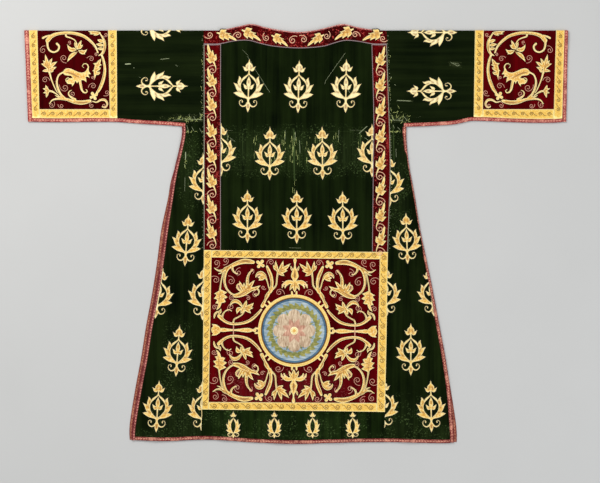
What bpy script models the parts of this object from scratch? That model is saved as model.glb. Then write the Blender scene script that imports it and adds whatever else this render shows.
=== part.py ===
"""A dalmatic laid flat, face up: a wide-sleeved velvet vestment, open down its sides, with gold applique.

Lengths are in millimetres and become metres when a mesh is made. X runs across the garment, Y from the
hem towards the neck, Z up out of the front. The back lies on the surface, the front lies on the back,
and each sleeve is one width of velvet folded over the shoulder.
"""

import math

import bpy
from mathutils import Vector
from mathutils.geometry import delaunay_2d_cdt

MM = 0.001
SEAM = 0.3            # clearance between neighbouring pieces
VELVET = 1.6          # wall of velvet on its linen
BRAID = 2.2           # red bands and gold frame strips, raised over the velvet
TRIM_EDGE = 1.8       # galloon at its two edges
TRIM_CROWN = 0.8      # how far its middle stands over them
BACK_TRIM = 1.8
TRIM_WIDTH = 10.0
PIPING_CROWN = 1.2
APPLIQUE = 0.9        # height of cut gold cloth over the velvet
FRONT_REST = 2.1      # underside of the front over the surface, where it lies on the back

FOLD_Y = 570.0        # shoulder fold
FOLD_RADIUS = 3.3
ROLL_Y = FOLD_Y - FOLD_RADIUS
ROLL_ARC = math.pi * FOLD_RADIUS
ROLL_RISE = 2 * FOLD_RADIUS - FRONT_REST - VELVET
ROLL_REACH = 55.0     # how far down from the fold the front still stands off the back
ROLL_STEPS = 4

BACK_NECK_Y = 557.0
BAND_TOP = 531.0      # seam between the neck band and the upright bands
NECK_LEAF_SIZE = 0.9
BACK_TUCK = 1.5       # hidden back edges stop this far inside the front's
GORE_TOP = 310.8
NECK_END = 212.0      # half width of the neck opening
PIPING = 3.4

EDGE_STEP = 55.0
GRID_STEP = 74.0
FRAME_STEP = 95.0
RING_SIDES = 32
RING_TABS = 8
MERGE = 0.001
SLIVER = 0.5
MOTIF_TOLERANCE = 2.3   # how far an applique's outline may be simplified
SCROLL_TOLERANCE = 3.0

ROUNDEL = {"x": -5.0, "y": -270.8, "picture": 93.0, "ring": 106.0, "tab": 5.0, "tab_width": 9.0,
           "wall": 1.2}

# Outer edges of the two open sides, from underarm to hem: front and back lie a little apart.
SIDE_EDGES = {
    "left": [  # y, front x, back x
        (311, -320.0, -317.0), (280, -319.5, -317.0), (235, -328.0, -326.0), (190, -338.8, -338.0),
        (146, -347.5, -351.0), (101, -354.2, -358.4), (11, -368.2, -377.5), (-78, -380.2, -389.2),
        (-168, -394.2, -403.2), (-258, -411.6, -420.0), (-347, -425.6, -434.0), (-437, -442.4, -450.8),
        (-526, -457.5, -465.0), (-560, -461.0, -467.0), (-588, -460.0, -464.0),
    ],
    "right": [
        (311, 310.0, 308.0), (280, 308.5, 307.0), (235, 311.5, 310.0), (190, 317.0, 316.0),
        (146, 325.0, 325.5), (101, 333.0, 334.0), (11, 348.0, 348.0), (-78, 366.8, 365.0),
        (-168, 385.0, 383.0), (-258, 401.8, 400.0), (-347, 418.6, 417.0), (-437, 431.8, 433.5),
        (-526, 439.0, 447.5), (-560, 441.5, 450.5), (-588, 442.0, 450.0),
    ],
}
# Seams between the centre panel's bands and the gores and sleeves: y, x
BODY_SEAM = {
    "left": [(-590, -266.5), (-491, -263.2), (-300, -260.5), (-45, -258.3), (200, -258.0), (575, -258.3)],
    "right": [(-590, 246.0), (-498, 249.2), (-300, 253.5), (-50, 257.6), (165, 264.4), (270, 263.3),
              (360, 260.2),
              (450, 257.1), (540, 254.0), (630, 250.9)],
}
BAND_INNER = {  # inner edges of the vertical bands: y, x
    "left": [(-60, -210.2), (200, -210.6), (535, -210.0)],
    "right": [(-60, 212.8), (165, 215.4), (333, 216.8), (535, 211.4)],
}
NECK_TOP = [  # x, y of the piped neck edge
    (-262, 571), (-202, 573), (-157, 582), (-124, 588), (-90, 579.5), (-45, 571), (4, 565.5), (55, 570.5),
    (95, 580), (131, 588), (165, 580.5), (205, 573.5), (262, 571),
]
NECK_LOWER = [  # x, y of the neck band's lower edge
    (-262, 531), (-216, 531), (-172, 539.5), (-132, 541), (-98, 532), (-60, 524.5), (11, 519.7),
    (78, 525),
    (108, 534), (138, 541), (176, 538), (216, 531), (262, 531),
]
HEM = [  # x, y of the front hem's outer edge
    (-470, -577), (-360, -580), (-266, -576), (-200, -578), (-134, -583), (0, -588), (90, -585.5),
    (180, -583.5),
    (270, -583), (350, -585), (415, -586), (460, -584),
]
SLEEVE_UNDER = {  # distance from the middle, y of the underside's outer edge
    "left": [(310, 300.6), (352, 304.2), (400, 307.0), (440, 309.5), (470, 311.8), (500, 314.0),
             (560, 314.5),
             (660, 313.6), (720, 314.2), (765, 315.2)],
    "right": [(302, 300.6), (345, 301.5), (400, 304.0), (440, 307.0), (465, 311.8), (487, 316.8),
              (520, 317.0),
              (560, 315.4), (610, 313.2), (670, 311.6), (728, 312.2), (765, 316.0)],
}
UNDERARM = {"left": 310.0, "right": 302.0}  # inner corner of the trim, as a distance from the middle
# Lines across a sleeve, as distances from the middle at the fold and at the underside.
SLEEVE_LINES = {
    "left": {"cuff": (761.0, 751.0), "trim": (748.0, 739.0), "frame": (723.8, 717.9),
             "inner": (526.4, 521.4), "end": (501.8, 500.6)},
    "right": {"cuff": (761.0, 758.0), "trim": (752.0, 746.0), "frame": (728.0, 721.6),
              "inner": (525.6, 523.4), "end": (500.9, 497.6)},
}
SLEEVE_LINE_TOP = FOLD_Y
SLEEVE_LINE_BOTTOM = 330.0
SLEEVE_FIELD_BOTTOM = 349.6

# Corners of the skirt apparel, outside the frame and inside it, as x, y.
APPAREL_OUTER = {"top_left": (-258.3, -44.8), "top_right": (257.4, -50.4),
                 "bottom_right": (249.2, -498.4), "bottom_left": (-263.2, -491.4)}
APPAREL_INNER = {"top_left": (-236.3, -65.8), "top_right": (234.4, -70.8),
                 "bottom_right": (226.2, -473.2), "bottom_left": (-244.2, -470.4)}

CREASES = [  # x0, y0, x1, y1, width, height
    (-148, 514, -74, 398, 30, 1.5),
    (136, 505, 86, 430, 28, 1.3),
    (-442, 382, -322, 328, 34, 1.6),
    (312, 330, 420, 392, 34, 1.6),
    (-300, 250, -352, -130, 34, 1.4),
    (290, 240, 338, -120, 34, 1.4),
    (-300, -505, -395, -300, 36, 1.3),
    (300, -520, 372, -330, 36, 1.3),
]
RIPPLES = [  # middle x, width, height and reach up from the hem
    (-392, 90, 1.9, 190), (-196, 80, 1.6, 120), (-40, 110, 1.8, 90), (120, 80, 1.4, 100),
    (318, 90, 1.9, 190),
]
FLAT_ROUND_ROUNDEL = (125.0, 210.0)  # radii between which the broad waves start

COLOURS = {
    "green_velvet": (0.010, 0.020, 0.006, 1.0), "red_velvet": (0.13, 0.004, 0.012, 1.0),
    "gold": (0.70, 0.45, 0.13, 1.0), "galloon": (0.35, 0.06, 0.05, 1.0), "silk": (0.55, 0.45, 0.36, 1.0),
}


# ---------------------------------------------------------------- small helpers

def read(rows, position, column=1):
    """The value of a table's column at a position, on a smooth curve through its rows."""
    rows = sorted(rows)
    position = min(max(position, rows[0][0]), rows[-1][0])
    index = 0
    while index < len(rows) - 2 and position > rows[index + 1][0]:
        index += 1
    before, start, stop, after = (rows[max(index - 1, 0)], rows[index], rows[index + 1],
                                  rows[min(index + 2, len(rows) - 1)])
    span = stop[0] - start[0]
    share = (position - start[0]) / span
    slope_in = (stop[column] - before[column]) / (stop[0] - before[0]) * span
    slope_out = (after[column] - start[column]) / (after[0] - start[0]) * span
    return (start[column] * (2 * share ** 3 - 3 * share ** 2 + 1)
            + slope_in * (share ** 3 - 2 * share ** 2 + share)
            + stop[column] * (3 * share ** 2 - 2 * share ** 3) + slope_out * (share ** 3 - share ** 2))


EDGES = {  # each drawn edge: its table, its column, and how far apart its corners are
    "hem": (HEM, 1, 60.0), "neck_top": (NECK_TOP, 1, 22.0), "neck_lower": (NECK_LOWER, 1, 36.0),
    "front_left": (SIDE_EDGES["left"], 1, 75.0), "back_left": (SIDE_EDGES["left"], 2, 75.0),
    "front_right": (SIDE_EDGES["right"], 1, 75.0), "back_right": (SIDE_EDGES["right"], 2, 75.0),
    "under_left": (SLEEVE_UNDER["left"], 1, 50.0), "under_right": (SLEEVE_UNDER["right"], 1, 50.0),
    "seam_left": (BODY_SEAM["left"], 1, 90.0), "seam_right": (BODY_SEAM["right"], 1, 90.0),
    "band_left": (BAND_INNER["left"], 1, 90.0), "band_right": (BAND_INNER["right"], 1, 90.0),
}


def edge_at(name, position):
    """An edge at a position, straight between its corners, so that neighbours keep their gap."""
    rows, column, step = EDGES[name]
    low = math.floor(position / step) * step
    share = (position - low) / step
    return read(rows, low, column) * (1 - share) + read(rows, low + step, column) * share


def corners_between(name, start, stop):
    """The two ends and the edge's corners between them, in order."""
    step = EDGES[name][2]
    low, high = min(start, stop), max(start, stop)
    found = [k * step for k in range(math.ceil(low / step), math.floor(high / step) + 1)]
    found = [low, *[place for place in found if low + 1.5 < place < high - 1.5], high]
    return found if start <= stop else found[::-1]


def ease(low, high, value):
    share = min(max((value - low) / (high - low), 0.0), 1.0)
    return share * share * (3 - 2 * share)


def steps_between(start, stop, step):
    count = max(1, round(abs(stop - start) / step))
    return [start + (stop - start) * i / count for i in range(count + 1)]


def inside(polygon, x, y):
    found = False
    for (ax, ay), (bx, by) in zip(polygon, polygon[1:] + polygon[:1]):
        if (ay > y) != (by > y) and x < (bx - ax) * (y - ay) / (by - ay) + ax:
            found = not found
    return found


def distance_to(segment, x, y):
    """How far a point is from a segment, and how far along it the nearest place is, from 0 to 1."""
    ax, ay, bx, by = segment
    length = (bx - ax) ** 2 + (by - ay) ** 2
    share = min(max(((x - ax) * (bx - ax) + (y - ay) * (by - ay)) / length, 0.0), 1.0)
    return math.hypot(x - ax - share * (bx - ax), y - ay - share * (by - ay)), share


def along_line(start, stop, step):
    count = max(1, round(math.dist(start, stop) / step))
    return [(start[0] + (stop[0] - start[0]) * i / count, start[1] + (stop[1] - start[1]) * i / count)
            for i in range(count + 1)]


def closed_path(*runs):
    """One outline from runs of points, without the repeated corners."""
    path = []
    for x, y in (point for run in runs for point in run):
        if not path or math.dist(path[-1], (x, y)) > 0.01:
            path.append((x, y))
    return path[:-1] if math.dist(path[0], path[-1]) < 0.01 else path


# ---------------------------------------------------------------- how the cloth lies

def crease_rise(x, y):
    rise = 0.0
    for x0, y0, x1, y1, width, height in CREASES:
        away, share = distance_to((x0, y0, x1, y1), x, y)
        rise += height * max(0.0, 1 - 2 * away / width) ** 1.3 * math.sin(math.pi * (0.12 + 0.76 * share))
    return rise


def ripple_rise(x, y):
    rise = 0.0
    for middle, width, height, reach in RIPPLES:
        across = max(0.0, 1 - (2 * (x - middle) / width) ** 2)
        rise += height * across ** 2 * math.exp(-((y - read(HEM, x)) / reach) ** 2)
    return rise


def puff(x, y):
    """How far the front stands over its lowest place."""
    near_roundel = math.hypot(x - ROUNDEL["x"], y - ROUNDEL["y"])
    broad = 0.5 + 0.5 * math.sin(x / 96 + 0.7) * math.cos(y / 118 - 0.4)
    waves = 0.9 * broad * ease(*FLAT_ROUND_ROUNDEL, near_roundel) + crease_rise(x, y) + ripple_rise(x, y)
    below = max(ROLL_Y - y, 0.0)
    return waves * ease(0, 50, below) + ROLL_RISE * math.exp(-(below / ROLL_REACH) ** 2)


def unrolled(y):
    """Distance up the front and over the fold of a place on the back, in the front's own Y."""
    return ROLL_Y + ROLL_ARC + (ROLL_Y - y)


def rolled_back(v):
    """The Y of a place that is v along the cloth, up the front and down the back."""
    if v <= ROLL_Y:
        return v
    return FOLD_Y if v < ROLL_Y + ROLL_ARC else 2 * ROLL_Y + ROLL_ARC - v


def front_surface(wall, rest=0.0):
    """Places points of a piece of the front, its underside at rest over the front's own underside."""
    def place(x, y, lift, outer):
        return (x, y, FRONT_REST + rest + puff(x, y) + (wall + lift if outer else 0.0))
    return place


def back_surface(wall):
    def place(x, y, lift, outer):
        return (x, y, wall + lift if outer else 0.0)
    return place


def folded_surface(wall):
    """Front, roll and back of a piece that goes over the shoulder fold."""
    def place(x, v, lift, outer):
        if v <= ROLL_Y:
            return front_surface(wall)(x, v, lift, outer)
        turn = (v - ROLL_Y) / FOLD_RADIUS
        if turn < math.pi:
            more = (wall - VELVET + lift) * (1 - ease(0.4 * math.pi, math.pi, turn))
            radius = FOLD_RADIUS + more if outer else FOLD_RADIUS - VELVET
            return (x, ROLL_Y + radius * math.sin(turn), FOLD_RADIUS + radius * math.cos(turn))
        return (x, rolled_back(v), 0.0 if outer else VELVET)
    return place


# ---------------------------------------------------------------- sheets

def triangulate(points, edges, rim_edges, holes):
    """Triangles of the area inside the rim, whose edges are the first rim_edges, as points, index triples
    and the old indices that each point comes from."""
    found = delaunay_2d_cdt([Vector(point) for point in points], edges, [], 0, MERGE)
    places = [(place.x, place.y) for place in found[0]]
    faces = [tuple(face) for face in found[2]]
    barrier = {frozenset(edge) for edge, olds in zip(found[1], found[4]) if any(old < rim_edges
                                                                                for old in olds)}
    beside = {}
    for number, face in enumerate(faces):
        for pair in zip(face, face[1:] + face[:1]):
            beside.setdefault(frozenset(pair), []).append(number)
    outside = {numbers[0] for pair, numbers in beside.items() if len(numbers) == 1
               and pair not in barrier}
    for number, face in enumerate(faces):
        x, y = middle_of(face, places)
        if abs(area_of([places[i] for i in face])) > SLIVER and any(inside(hole, x, y) for hole in holes):
            outside.add(number)
    waiting = list(outside)
    while waiting:
        face = faces[waiting.pop()]
        for pair in zip(face, face[1:] + face[:1]):
            if frozenset(pair) in barrier:
                continue
            for other in beside[frozenset(pair)]:
                if other not in outside:
                    outside.add(other)
                    waiting.append(other)
    return places, [face for number, face in enumerate(faces) if number not in outside], found[3]


def middle_of(face, places):
    return (sum(places[i][0] for i in face) / 3, sum(places[i][1] for i in face) / 3)


def outer_loops(faces, places):
    """The closed outlines round a set of triangles, each as corner points in order."""
    sides = {pair for face in faces for pair in zip(face, face[1:] + face[:1])}
    following = {a: b for a, b in sides if (b, a) not in sides}
    loops = []
    while following:
        start, corner = following.popitem()
        loop = [places[start]]
        while corner != start:
            loop.append(places[corner])
            corner = following.pop(corner)
        loops.append(loop)
    return loops


def thinned(loop, tolerance):
    """A closed outline with the corners left out that change it by less than the tolerance."""
    def keep(run):
        if len(run) < 3:
            return run[:1]
        far, at = max((distance_to((*run[0], *run[-1]), *point)[0] if run[0] != run[-1]
                       else math.dist(run[0], point), i) for i, point in enumerate(run[1:-1], 1))
        if far < tolerance:
            return run[:1]
        return keep(run[:at + 1]) + keep(run[at:])

    farthest = max(range(len(loop)), key=lambda i: math.dist(loop[0], loop[i]))
    return keep(loop[:farthest + 1]) + keep(loop[farthest:] + loop[:1])


def united(shapes, tolerance):
    """The outlines, holes among them, of shapes that overlap each other."""
    points, edges = [], []
    for shape in shapes:
        edges += chain(len(points), len(shape))
        points += shape
    found = delaunay_2d_cdt([Vector(point) for point in points], edges, [], 0, MERGE)
    places = [(place.x, place.y) for place in found[0]]
    faces = [tuple(face) for face in found[2]]
    filled = {number for number, face in enumerate(faces)
              if any(inside(shape, *middle_of(face, places)) for shape in shapes)}
    fill_pinches(faces, filled)
    loops = [thinned(loop, tolerance) for loop in outer_loops([faces[n] for n in sorted(filled)], places)]
    return [loop for loop in loops if len(loop) > 2 and abs(area_of(loop)) > tolerance * 6]


def area_of(loop):
    return sum(ax * by - bx * ay for (ax, ay), (bx, by) in zip(loop, loop[1:] + loop[:1])) / 2


def fill_pinches(faces, filled, allowed=None):
    """Fills round the corners where filled triangles only touch, so that walls never share an edge."""
    around = {}
    for number, face in enumerate(faces):
        for corner in face:
            around.setdefault(corner, []).append(number)
    for _ in range(6):
        owners = {}
        for number in filled:
            face = faces[number]
            for pair in zip(face, face[1:] + face[:1]):
                owners[frozenset(pair)] = owners.get(frozenset(pair), 0) + 1
        ends = {}
        for pair, count in owners.items():
            if count == 1:
                for corner in pair:
                    ends[corner] = ends.get(corner, 0) + 1
        pinched = [corner for corner, count in ends.items() if count > 2]
        if not pinched:
            return
        for corner in pinched:
            filled.update(n for n in around[corner] if allowed is None or n in allowed)


def chain(start, count, closed=True):
    return [(start + i, start + (i + 1) % count) for i in range(count if closed else count - 1)]


def raised_faces(places, faces, shapes, keep_out, highest):
    """Which triangles lie in the applique: inside an odd number of its outlines."""
    boxes = [(min(x for x, _ in s), max(x for x, _ in s), min(y for _, y in s), max(y for _, y in s), s)
             for s in shapes]
    allowed = set()
    for number, face in enumerate(faces):
        x, y = middle_of(face, places)
        if y < highest and not any(inside(area, x, y) for area in keep_out):
            allowed.add(number)
    raised = set()
    for number in allowed:
        x, y = middle_of(faces[number], places)
        if sum(x0 <= x <= x1 and y0 <= y <= y1 and inside(s, x, y) for x0, x1, y0, y1, s in boxes) % 2:
            raised.add(number)
    fill_pinches(faces, raised, allowed)
    return raised


def material_named(name):
    material = bpy.data.materials.get(name)
    if material is None:
        material = bpy.data.materials.new(name)
        material.use_nodes = True
        shader = material.node_tree.nodes["Principled BSDF"]
        shader.inputs["Base Color"].default_value = COLOURS[name]
        shader.inputs["Roughness"].default_value = 0.45 if name in ("gold", "galloon") else 0.85
        shader.inputs["Metallic"].default_value = 0.6 if name == "gold" else 0.0
    return material


def sheet(name, material, outline, surface, holes=(), lines=(), shapes=(), keep_out=(), grid=GRID_STEP,
          highest=1e9):
    """A closed wall of cloth: its outer side carries the raised shapes, its inner side is plain.

    lines are polylines that the triangles follow, each with the extra height of its points.
    """
    loops = [outline, *holes]
    points, edges, lifts = [], [], {}
    for loop in loops:
        edges += chain(len(points), len(loop))
        points += loop
    for line, lift in lines:
        known = {(round(x, 3), round(y, 3)): i for i, (x, y) in enumerate(points)}
        numbers = []
        for x, y in line:
            key = (round(x, 3), round(y, 3))
            if key not in known:
                known[key] = len(points)
                points.append((x, y))
            numbers.append(known[key])
            lifts[known[key]] = lift
        edges += list(zip(numbers, numbers[1:]))
    if grid:
        xs = [x for x, _ in outline]
        ys = [y for _, y in outline]
        for x in steps_between(min(xs), max(xs), grid)[1:-1]:
            for y in steps_between(min(ys), max(ys), grid)[1:-1]:
                near = min(distance_to((*a, *b), x, y)[0]
                           for loop in loops for a, b in zip(loop, loop[1:] + loop[:1]))
                if near > 0.3 * grid and inside(outline, x, y) and not any(inside(h, x, y)
                                                                           for h in holes):
                    points.append((x, y))
    plain_points, plain_edges = list(points), list(edges)
    for shape in [*shapes, *keep_out]:
        edges += chain(len(points), len(shape))
        points += shape
    rim_count = sum(len(loop) for loop in loops)
    places, faces, sources = triangulate(points, edges, rim_count, holes)
    raised = raised_faces(places, faces, shapes, keep_out, highest)

    owners = {}
    for number, face in enumerate(faces):
        for pair in zip(face, face[1:] + face[:1]):
            owners[pair] = number
    rim = [pair for pair in owners if pair[::-1] not in owners]
    rim_corners = sorted({corner for pair in rim for corner in pair})

    vertices, polygons, index = [], [], {}

    def vertex(side, x, y, lift):
        key = (side, round(x, 4), round(y, 4))
        if key not in index:
            index[key] = len(vertices)
            height = lift + (APPLIQUE if side == "raised" else 0.0)
            vertices.append([MM * value for value in surface(x, y, height, side != "inner")])
        return index[key]

    def lift_of(corner):
        return max((lifts.get(source, 0.0) for source in sources[corner]), default=0.0)

    def top(corner, up):
        return vertex("raised" if up else "outer", *places[corner], lift_of(corner))

    for number, face in enumerate(faces):
        polygons.append([top(corner, number in raised) for corner in face])
    for (a, b), number in owners.items():
        if number in raised and owners.get((b, a)) not in raised:
            polygons.append([top(a, False), top(b, False), top(b, True), top(a, True)])
    for a, b in rim:
        polygons.append([vertex("inner", *places[a], 0), vertex("inner", *places[b], 0), top(b, False),
                         top(a, False)])

    # The plain inside: the same rim, the same lines, no shapes.
    rim_index = {corner: i for i, corner in enumerate(rim_corners)}
    under_points = [places[corner] for corner in rim_corners]
    under_edges = [(rim_index[a], rim_index[b]) for a, b in rim]
    renumbered = {}
    known = {(round(x, 2), round(y, 2)): i for i, (x, y) in enumerate(under_points)}
    for number, (x, y) in enumerate(plain_points):
        key = (round(x, 2), round(y, 2))
        if key in known:
            renumbered[number] = known[key]
        else:
            renumbered[number] = len(under_points)
            under_points.append((x, y))
    under_edges += [(renumbered[a], renumbered[b]) for a, b in plain_edges[rim_count:]]
    under_places, under_faces, _ = triangulate(under_points, under_edges, len(rim), holes)
    for face in under_faces:
        polygons.append([vertex("inner", *under_places[corner], 0) for corner in reversed(face)])

    mesh = bpy.data.meshes.new(name)
    mesh.from_pydata(vertices, [], polygons)
    mesh.validate()
    mesh.materials.append(material_named(material))
    mesh.update()
    piece = bpy.data.objects.new(name, mesh)
    bpy.context.scene.collection.objects.link(piece)
    return piece


def crease_lines(outline):
    """The feet and the crest of each crease that runs inside this outline."""
    lines = []
    for x0, y0, x1, y1, width, _ in CREASES:
        length = math.hypot(x1 - x0, y1 - y0)
        aside = (-(y1 - y0) / length * width / 2, (x1 - x0) / length * width / 2)
        for side in (-1, 0, 1):
            start = (x0 + side * aside[0], y0 + side * aside[1])
            stop = (x1 + side * aside[0], y1 + side * aside[1])
            run = along_line(start, stop, 48)
            clear = [p for p in run if inside(outline, *p)
                     and min(distance_to((*a, *b), *p)[0] for a, b in zip(outline, outline[1:]
                                                                          + outline[:1])) > 4]
            if len(clear) > 1 and len(clear) == len(run):
                lines.append((clear, 0.0))
    return lines


def ribbon(name, material, outer, inner, surface, crown=TRIM_CROWN):
    """A flat braid between two edges with as many points each, a little higher along its middle."""
    middle = [((a[0] + b[0]) / 2, (a[1] + b[1]) / 2) for a, b in zip(outer, inner)]
    start = [outer[0], middle[0], inner[0]]
    stop = [inner[-1], middle[-1], outer[-1]]
    if not crown:
        return sheet(name, material, closed_path(inner, list(reversed(outer))), surface, grid=0)
    path = closed_path(start, inner, stop, list(reversed(outer)))
    return sheet(name, material, path, surface, lines=[(middle, crown)], grid=0)


# ---------------------------------------------------------------- applique shapes

def leaf(root, tip, width, bend=0.0, steps=3):
    """A leaf or petal from its root to its tip, its middle pushed aside by bend."""
    along = (tip[0] - root[0], tip[1] - root[1])
    length = math.hypot(*along)
    aside = (-along[1] / length, along[0] / length)
    middle = ((root[0] + tip[0]) / 2 + 2 * bend * aside[0], (root[1] + tip[1]) / 2 + 2 * bend * aside[1])
    left, right = [], []
    for i in range(1, steps):
        t = i / steps
        x = (1 - t) ** 2 * root[0] + 2 * t * (1 - t) * middle[0] + t * t * tip[0]
        y = (1 - t) ** 2 * root[1] + 2 * t * (1 - t) * middle[1] + t * t * tip[1]
        half = width / 2 * math.sin(math.pi * t ** 0.8)
        left.append((x + half * aside[0], y + half * aside[1]))
        right.append((x - half * aside[0], y - half * aside[1]))
    return [root, *right, tip, *reversed(left)]


def stem(rows):
    """A stem through rows of x, y and width."""
    left, right = [], []
    for i, (x, y, width) in enumerate(rows):
        before, after = rows[max(i - 1, 0)], rows[min(i + 1, len(rows) - 1)]
        dx, dy = after[0] - before[0], after[1] - before[1]
        length = math.hypot(dx, dy)
        left.append((x - dy / length * width / 2, y + dx / length * width / 2))
        right.append((x + dy / length * width / 2, y - dx / length * width / 2))
    return right + left[::-1]


def rosette(x, y, radius, petals=4, waist=0.55, turn=0.0):
    """A blossom of rounded petals."""
    return [(x + radius * (1 if i % 2 == 0 else waist) * math.cos(turn + math.pi * i / petals),
             y + radius * (1 if i % 2 == 0 else waist) * math.sin(turn + math.pi * i / petals))
            for i in range(2 * petals)]


def mirrored(shapes):
    return [[(-x, y) for x, y in reversed(shape)] for shape in shapes]


def upended(shapes):
    return [[(x, -y) for x, y in reversed(shape)] for shape in shapes]


def placed(shapes, x, y, turn=0.0, size=1.0):
    c, s = math.cos(turn) * size, math.sin(turn) * size
    return [[(x + px * c - py * s, y + px * s + py * c) for px, py in shape] for shape in shapes]


PALMETTE_OUTLINE = {  # right half, from the crown's tip down to the spear's point: across, up
    "tip": (0, 152), "crown": (9.5, 134), "crown_notch": (9, 125), "side_tip": (18.5, 131),
    "side_foot": (13, 116),
    "fork": (3, 108), "leaf_1_notch": (20.5, 90), "leaf_1_tip": (30, 101), "leaf_1_back": (31, 78),
    "leaf_2_tip": (42.5, 78), "leaf_3_notch": (30, 61), "leaf_3_tip": (39.5, 51), "leaf_3_back": (26, 44),
    "waist_top": (5, 38), "waist": (4.5, 25), "scroll_in": (14, 22), "scroll_end": (15, 33),
    "scroll_top": (22, 35),
    "scroll_out": (27, 25), "scroll_foot": (20, 15.5), "spear": (7, 15), "point": (0, 0),
}
PALMETTE_VOID = {  # the right half of the almond, round the bud: across, up
    "top": (4.5, 96), "bud": (7, 83), "bud_notch": (4, 74), "petal_tip": (15, 80), "petal_back": (8, 64),
    "foot": (4, 49), "low": (16, 60), "side": (19.5, 73), "high": (14, 87),
}


def palmette():
    """The palmette about the foot of its middle: one outline and the two halves of its void."""
    right = list(PALMETTE_OUTLINE.values())
    left = [(-x, y) for x, y in right[1:-1]]
    void = list(PALMETTE_VOID.values())
    return [right + left[::-1], void] + mirrored([void])


def hem_sprig():
    """The narrow sprig of the hem strip, 78 mm tall."""
    half = [stem([(0, 62, 4.5), (12, 50, 6.0), (15, 36, 7.0), (9, 22, 6.5), (0, 14, 6.0)]),
            leaf((13, 40), (23, 55), 9.0, -2.0), leaf((11, 26), (23, 33), 9.0, -2.5)]
    middle = [leaf((0, 58), (0, 80), 13.0), leaf((0, 20), (0, 0), 10.0), leaf((0, 26), (0, 54), 9.0)]
    return united(half + mirrored(half) + middle, MOTIF_TOLERANCE)


VINE_LEAF = [  # across, up, round a five-lobed leaf from the root
    (2, 1), (13, 7), (16, 24), (8, 19), (6, 37), (1, 29), (-9, 45), (-11, 30), (-17, 30), (-12, 17),
    (-17, 14),
    (-6, 3),
]


def vine_leaf():
    """A leaf on its curled stem, its root at the origin and its tip up at the left."""
    curl = stem([(-1, 4, 5.0), (6, -12, 3.0), (2, -22, 2.6), (-7, -18, 2.6)])
    return united([VINE_LEAF, curl], MOTIF_TOLERANCE)


# Scrollwork of one quarter of the skirt apparel, from its middle outwards and upwards: x, y, width
SKIRT_STEMS = {
    "club": [(117, 190.5, 11), (139, 193, 16), (160, 188, 13), (179, 179, 11), (195, 169, 8),
             (213, 166, 4),
             (226, 173, 2.5)],
    "great_scroll": [(183, 176, 7), (193.5, 155, 8), (196, 133, 6), (188, 112, 5), (172, 99, 5),
                     (160, 95, 7)],
    "flower_horn": [(131, 130, 10), (134, 146, 8), (130, 159, 5), (119, 167, 3)],
    "spray_stem": [(199, 166, 5), (206, 134, 4), (210, 106, 6)],
    "post": [(78, 177, 8), (69, 157, 10.5), (63.5, 134, 9), (65.5, 116, 8), (74.5, 103, 11), (80, 89, 8),
             (88, 71, 9)],
    "left_twig": [(68, 113, 3.5), (75, 137, 4), (81, 153, 5), (91, 162, 6)],
    "right_twig": [(62, 114, 4.5), (52, 127, 5), (49.5, 150, 5), (46, 168, 8)],
    "arc": [(95, 56, 7), (118, 32, 9), (145, 19, 8), (171, 17, 8), (194, 24, 10), (209, 37, 14),
            (217, 43, 17)],
    "arc_curl": [(200, 34, 9), (200, 52, 5), (190, 58, 4)],
    "hanger": [(171, 21, 5), (165, 33, 4), (148, 39, 4), (141, 50, 5)],
}
SKIRT_LEAVES = {  # root x, root y, tip x, tip y, width, bend
    "flower_body": (166, 95, 112, 121, 19, -3), "flower_tip": (128, 112, 97, 124, 12, 2),
    "flower_top": (128, 116, 113, 138, 11, -2), "flower_back": (140, 112, 157, 137, 13, -4),
    "spray_middle": (210, 108, 217, 57, 16, 0),
    "left_leaf": (84, 152, 104, 158, 17, 3),
    "right_leaf_tall": (47, 164, 54, 193, 11, -2), "right_leaf_mid": (46, 164, 32, 193, 12, 2),
    "right_leaf_far": (46, 166, 10, 187, 15, 3),
    "hung_left": (143, 62, 178, 74, 13, -6), "hung_right": (141, 64, 118, 74, 14, 4),
    "hung_back": (146, 62, 160, 44, 13, 6),
}
SKIRT_AXIS = {  # pieces on the upright axis, drawn once: root x, root y, tip x, tip y, width, bend
    "bud": (0, 176, 0, 203, 12, 0), "vase": (0, 140, 0, 181, 24, 0), "palm_middle": (0, 136, 0, 108, 13,
                                                                                     0),
    "palm_left": (0, 136, -17, 115, 11, 2), "palm_right": (0, 136, 17, 115, 11, -2),
    "palm_far_left": (0, 134, -35, 132, 13, 5), "palm_far_right": (0, 134, 35, 132, 13, -5),
}
SKIRT_SPINDLE = [(110, 0, 10), (122, 0, 14), (150, 0, 12), (170, 0, 7), (190, 0, 12), (206, 0, 12),
                 (214, 0, 20),
                 (226, 0, 8)]
BLOSSOM = {"x": 96.7, "y": 186.0, "radius": 13.0}

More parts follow.
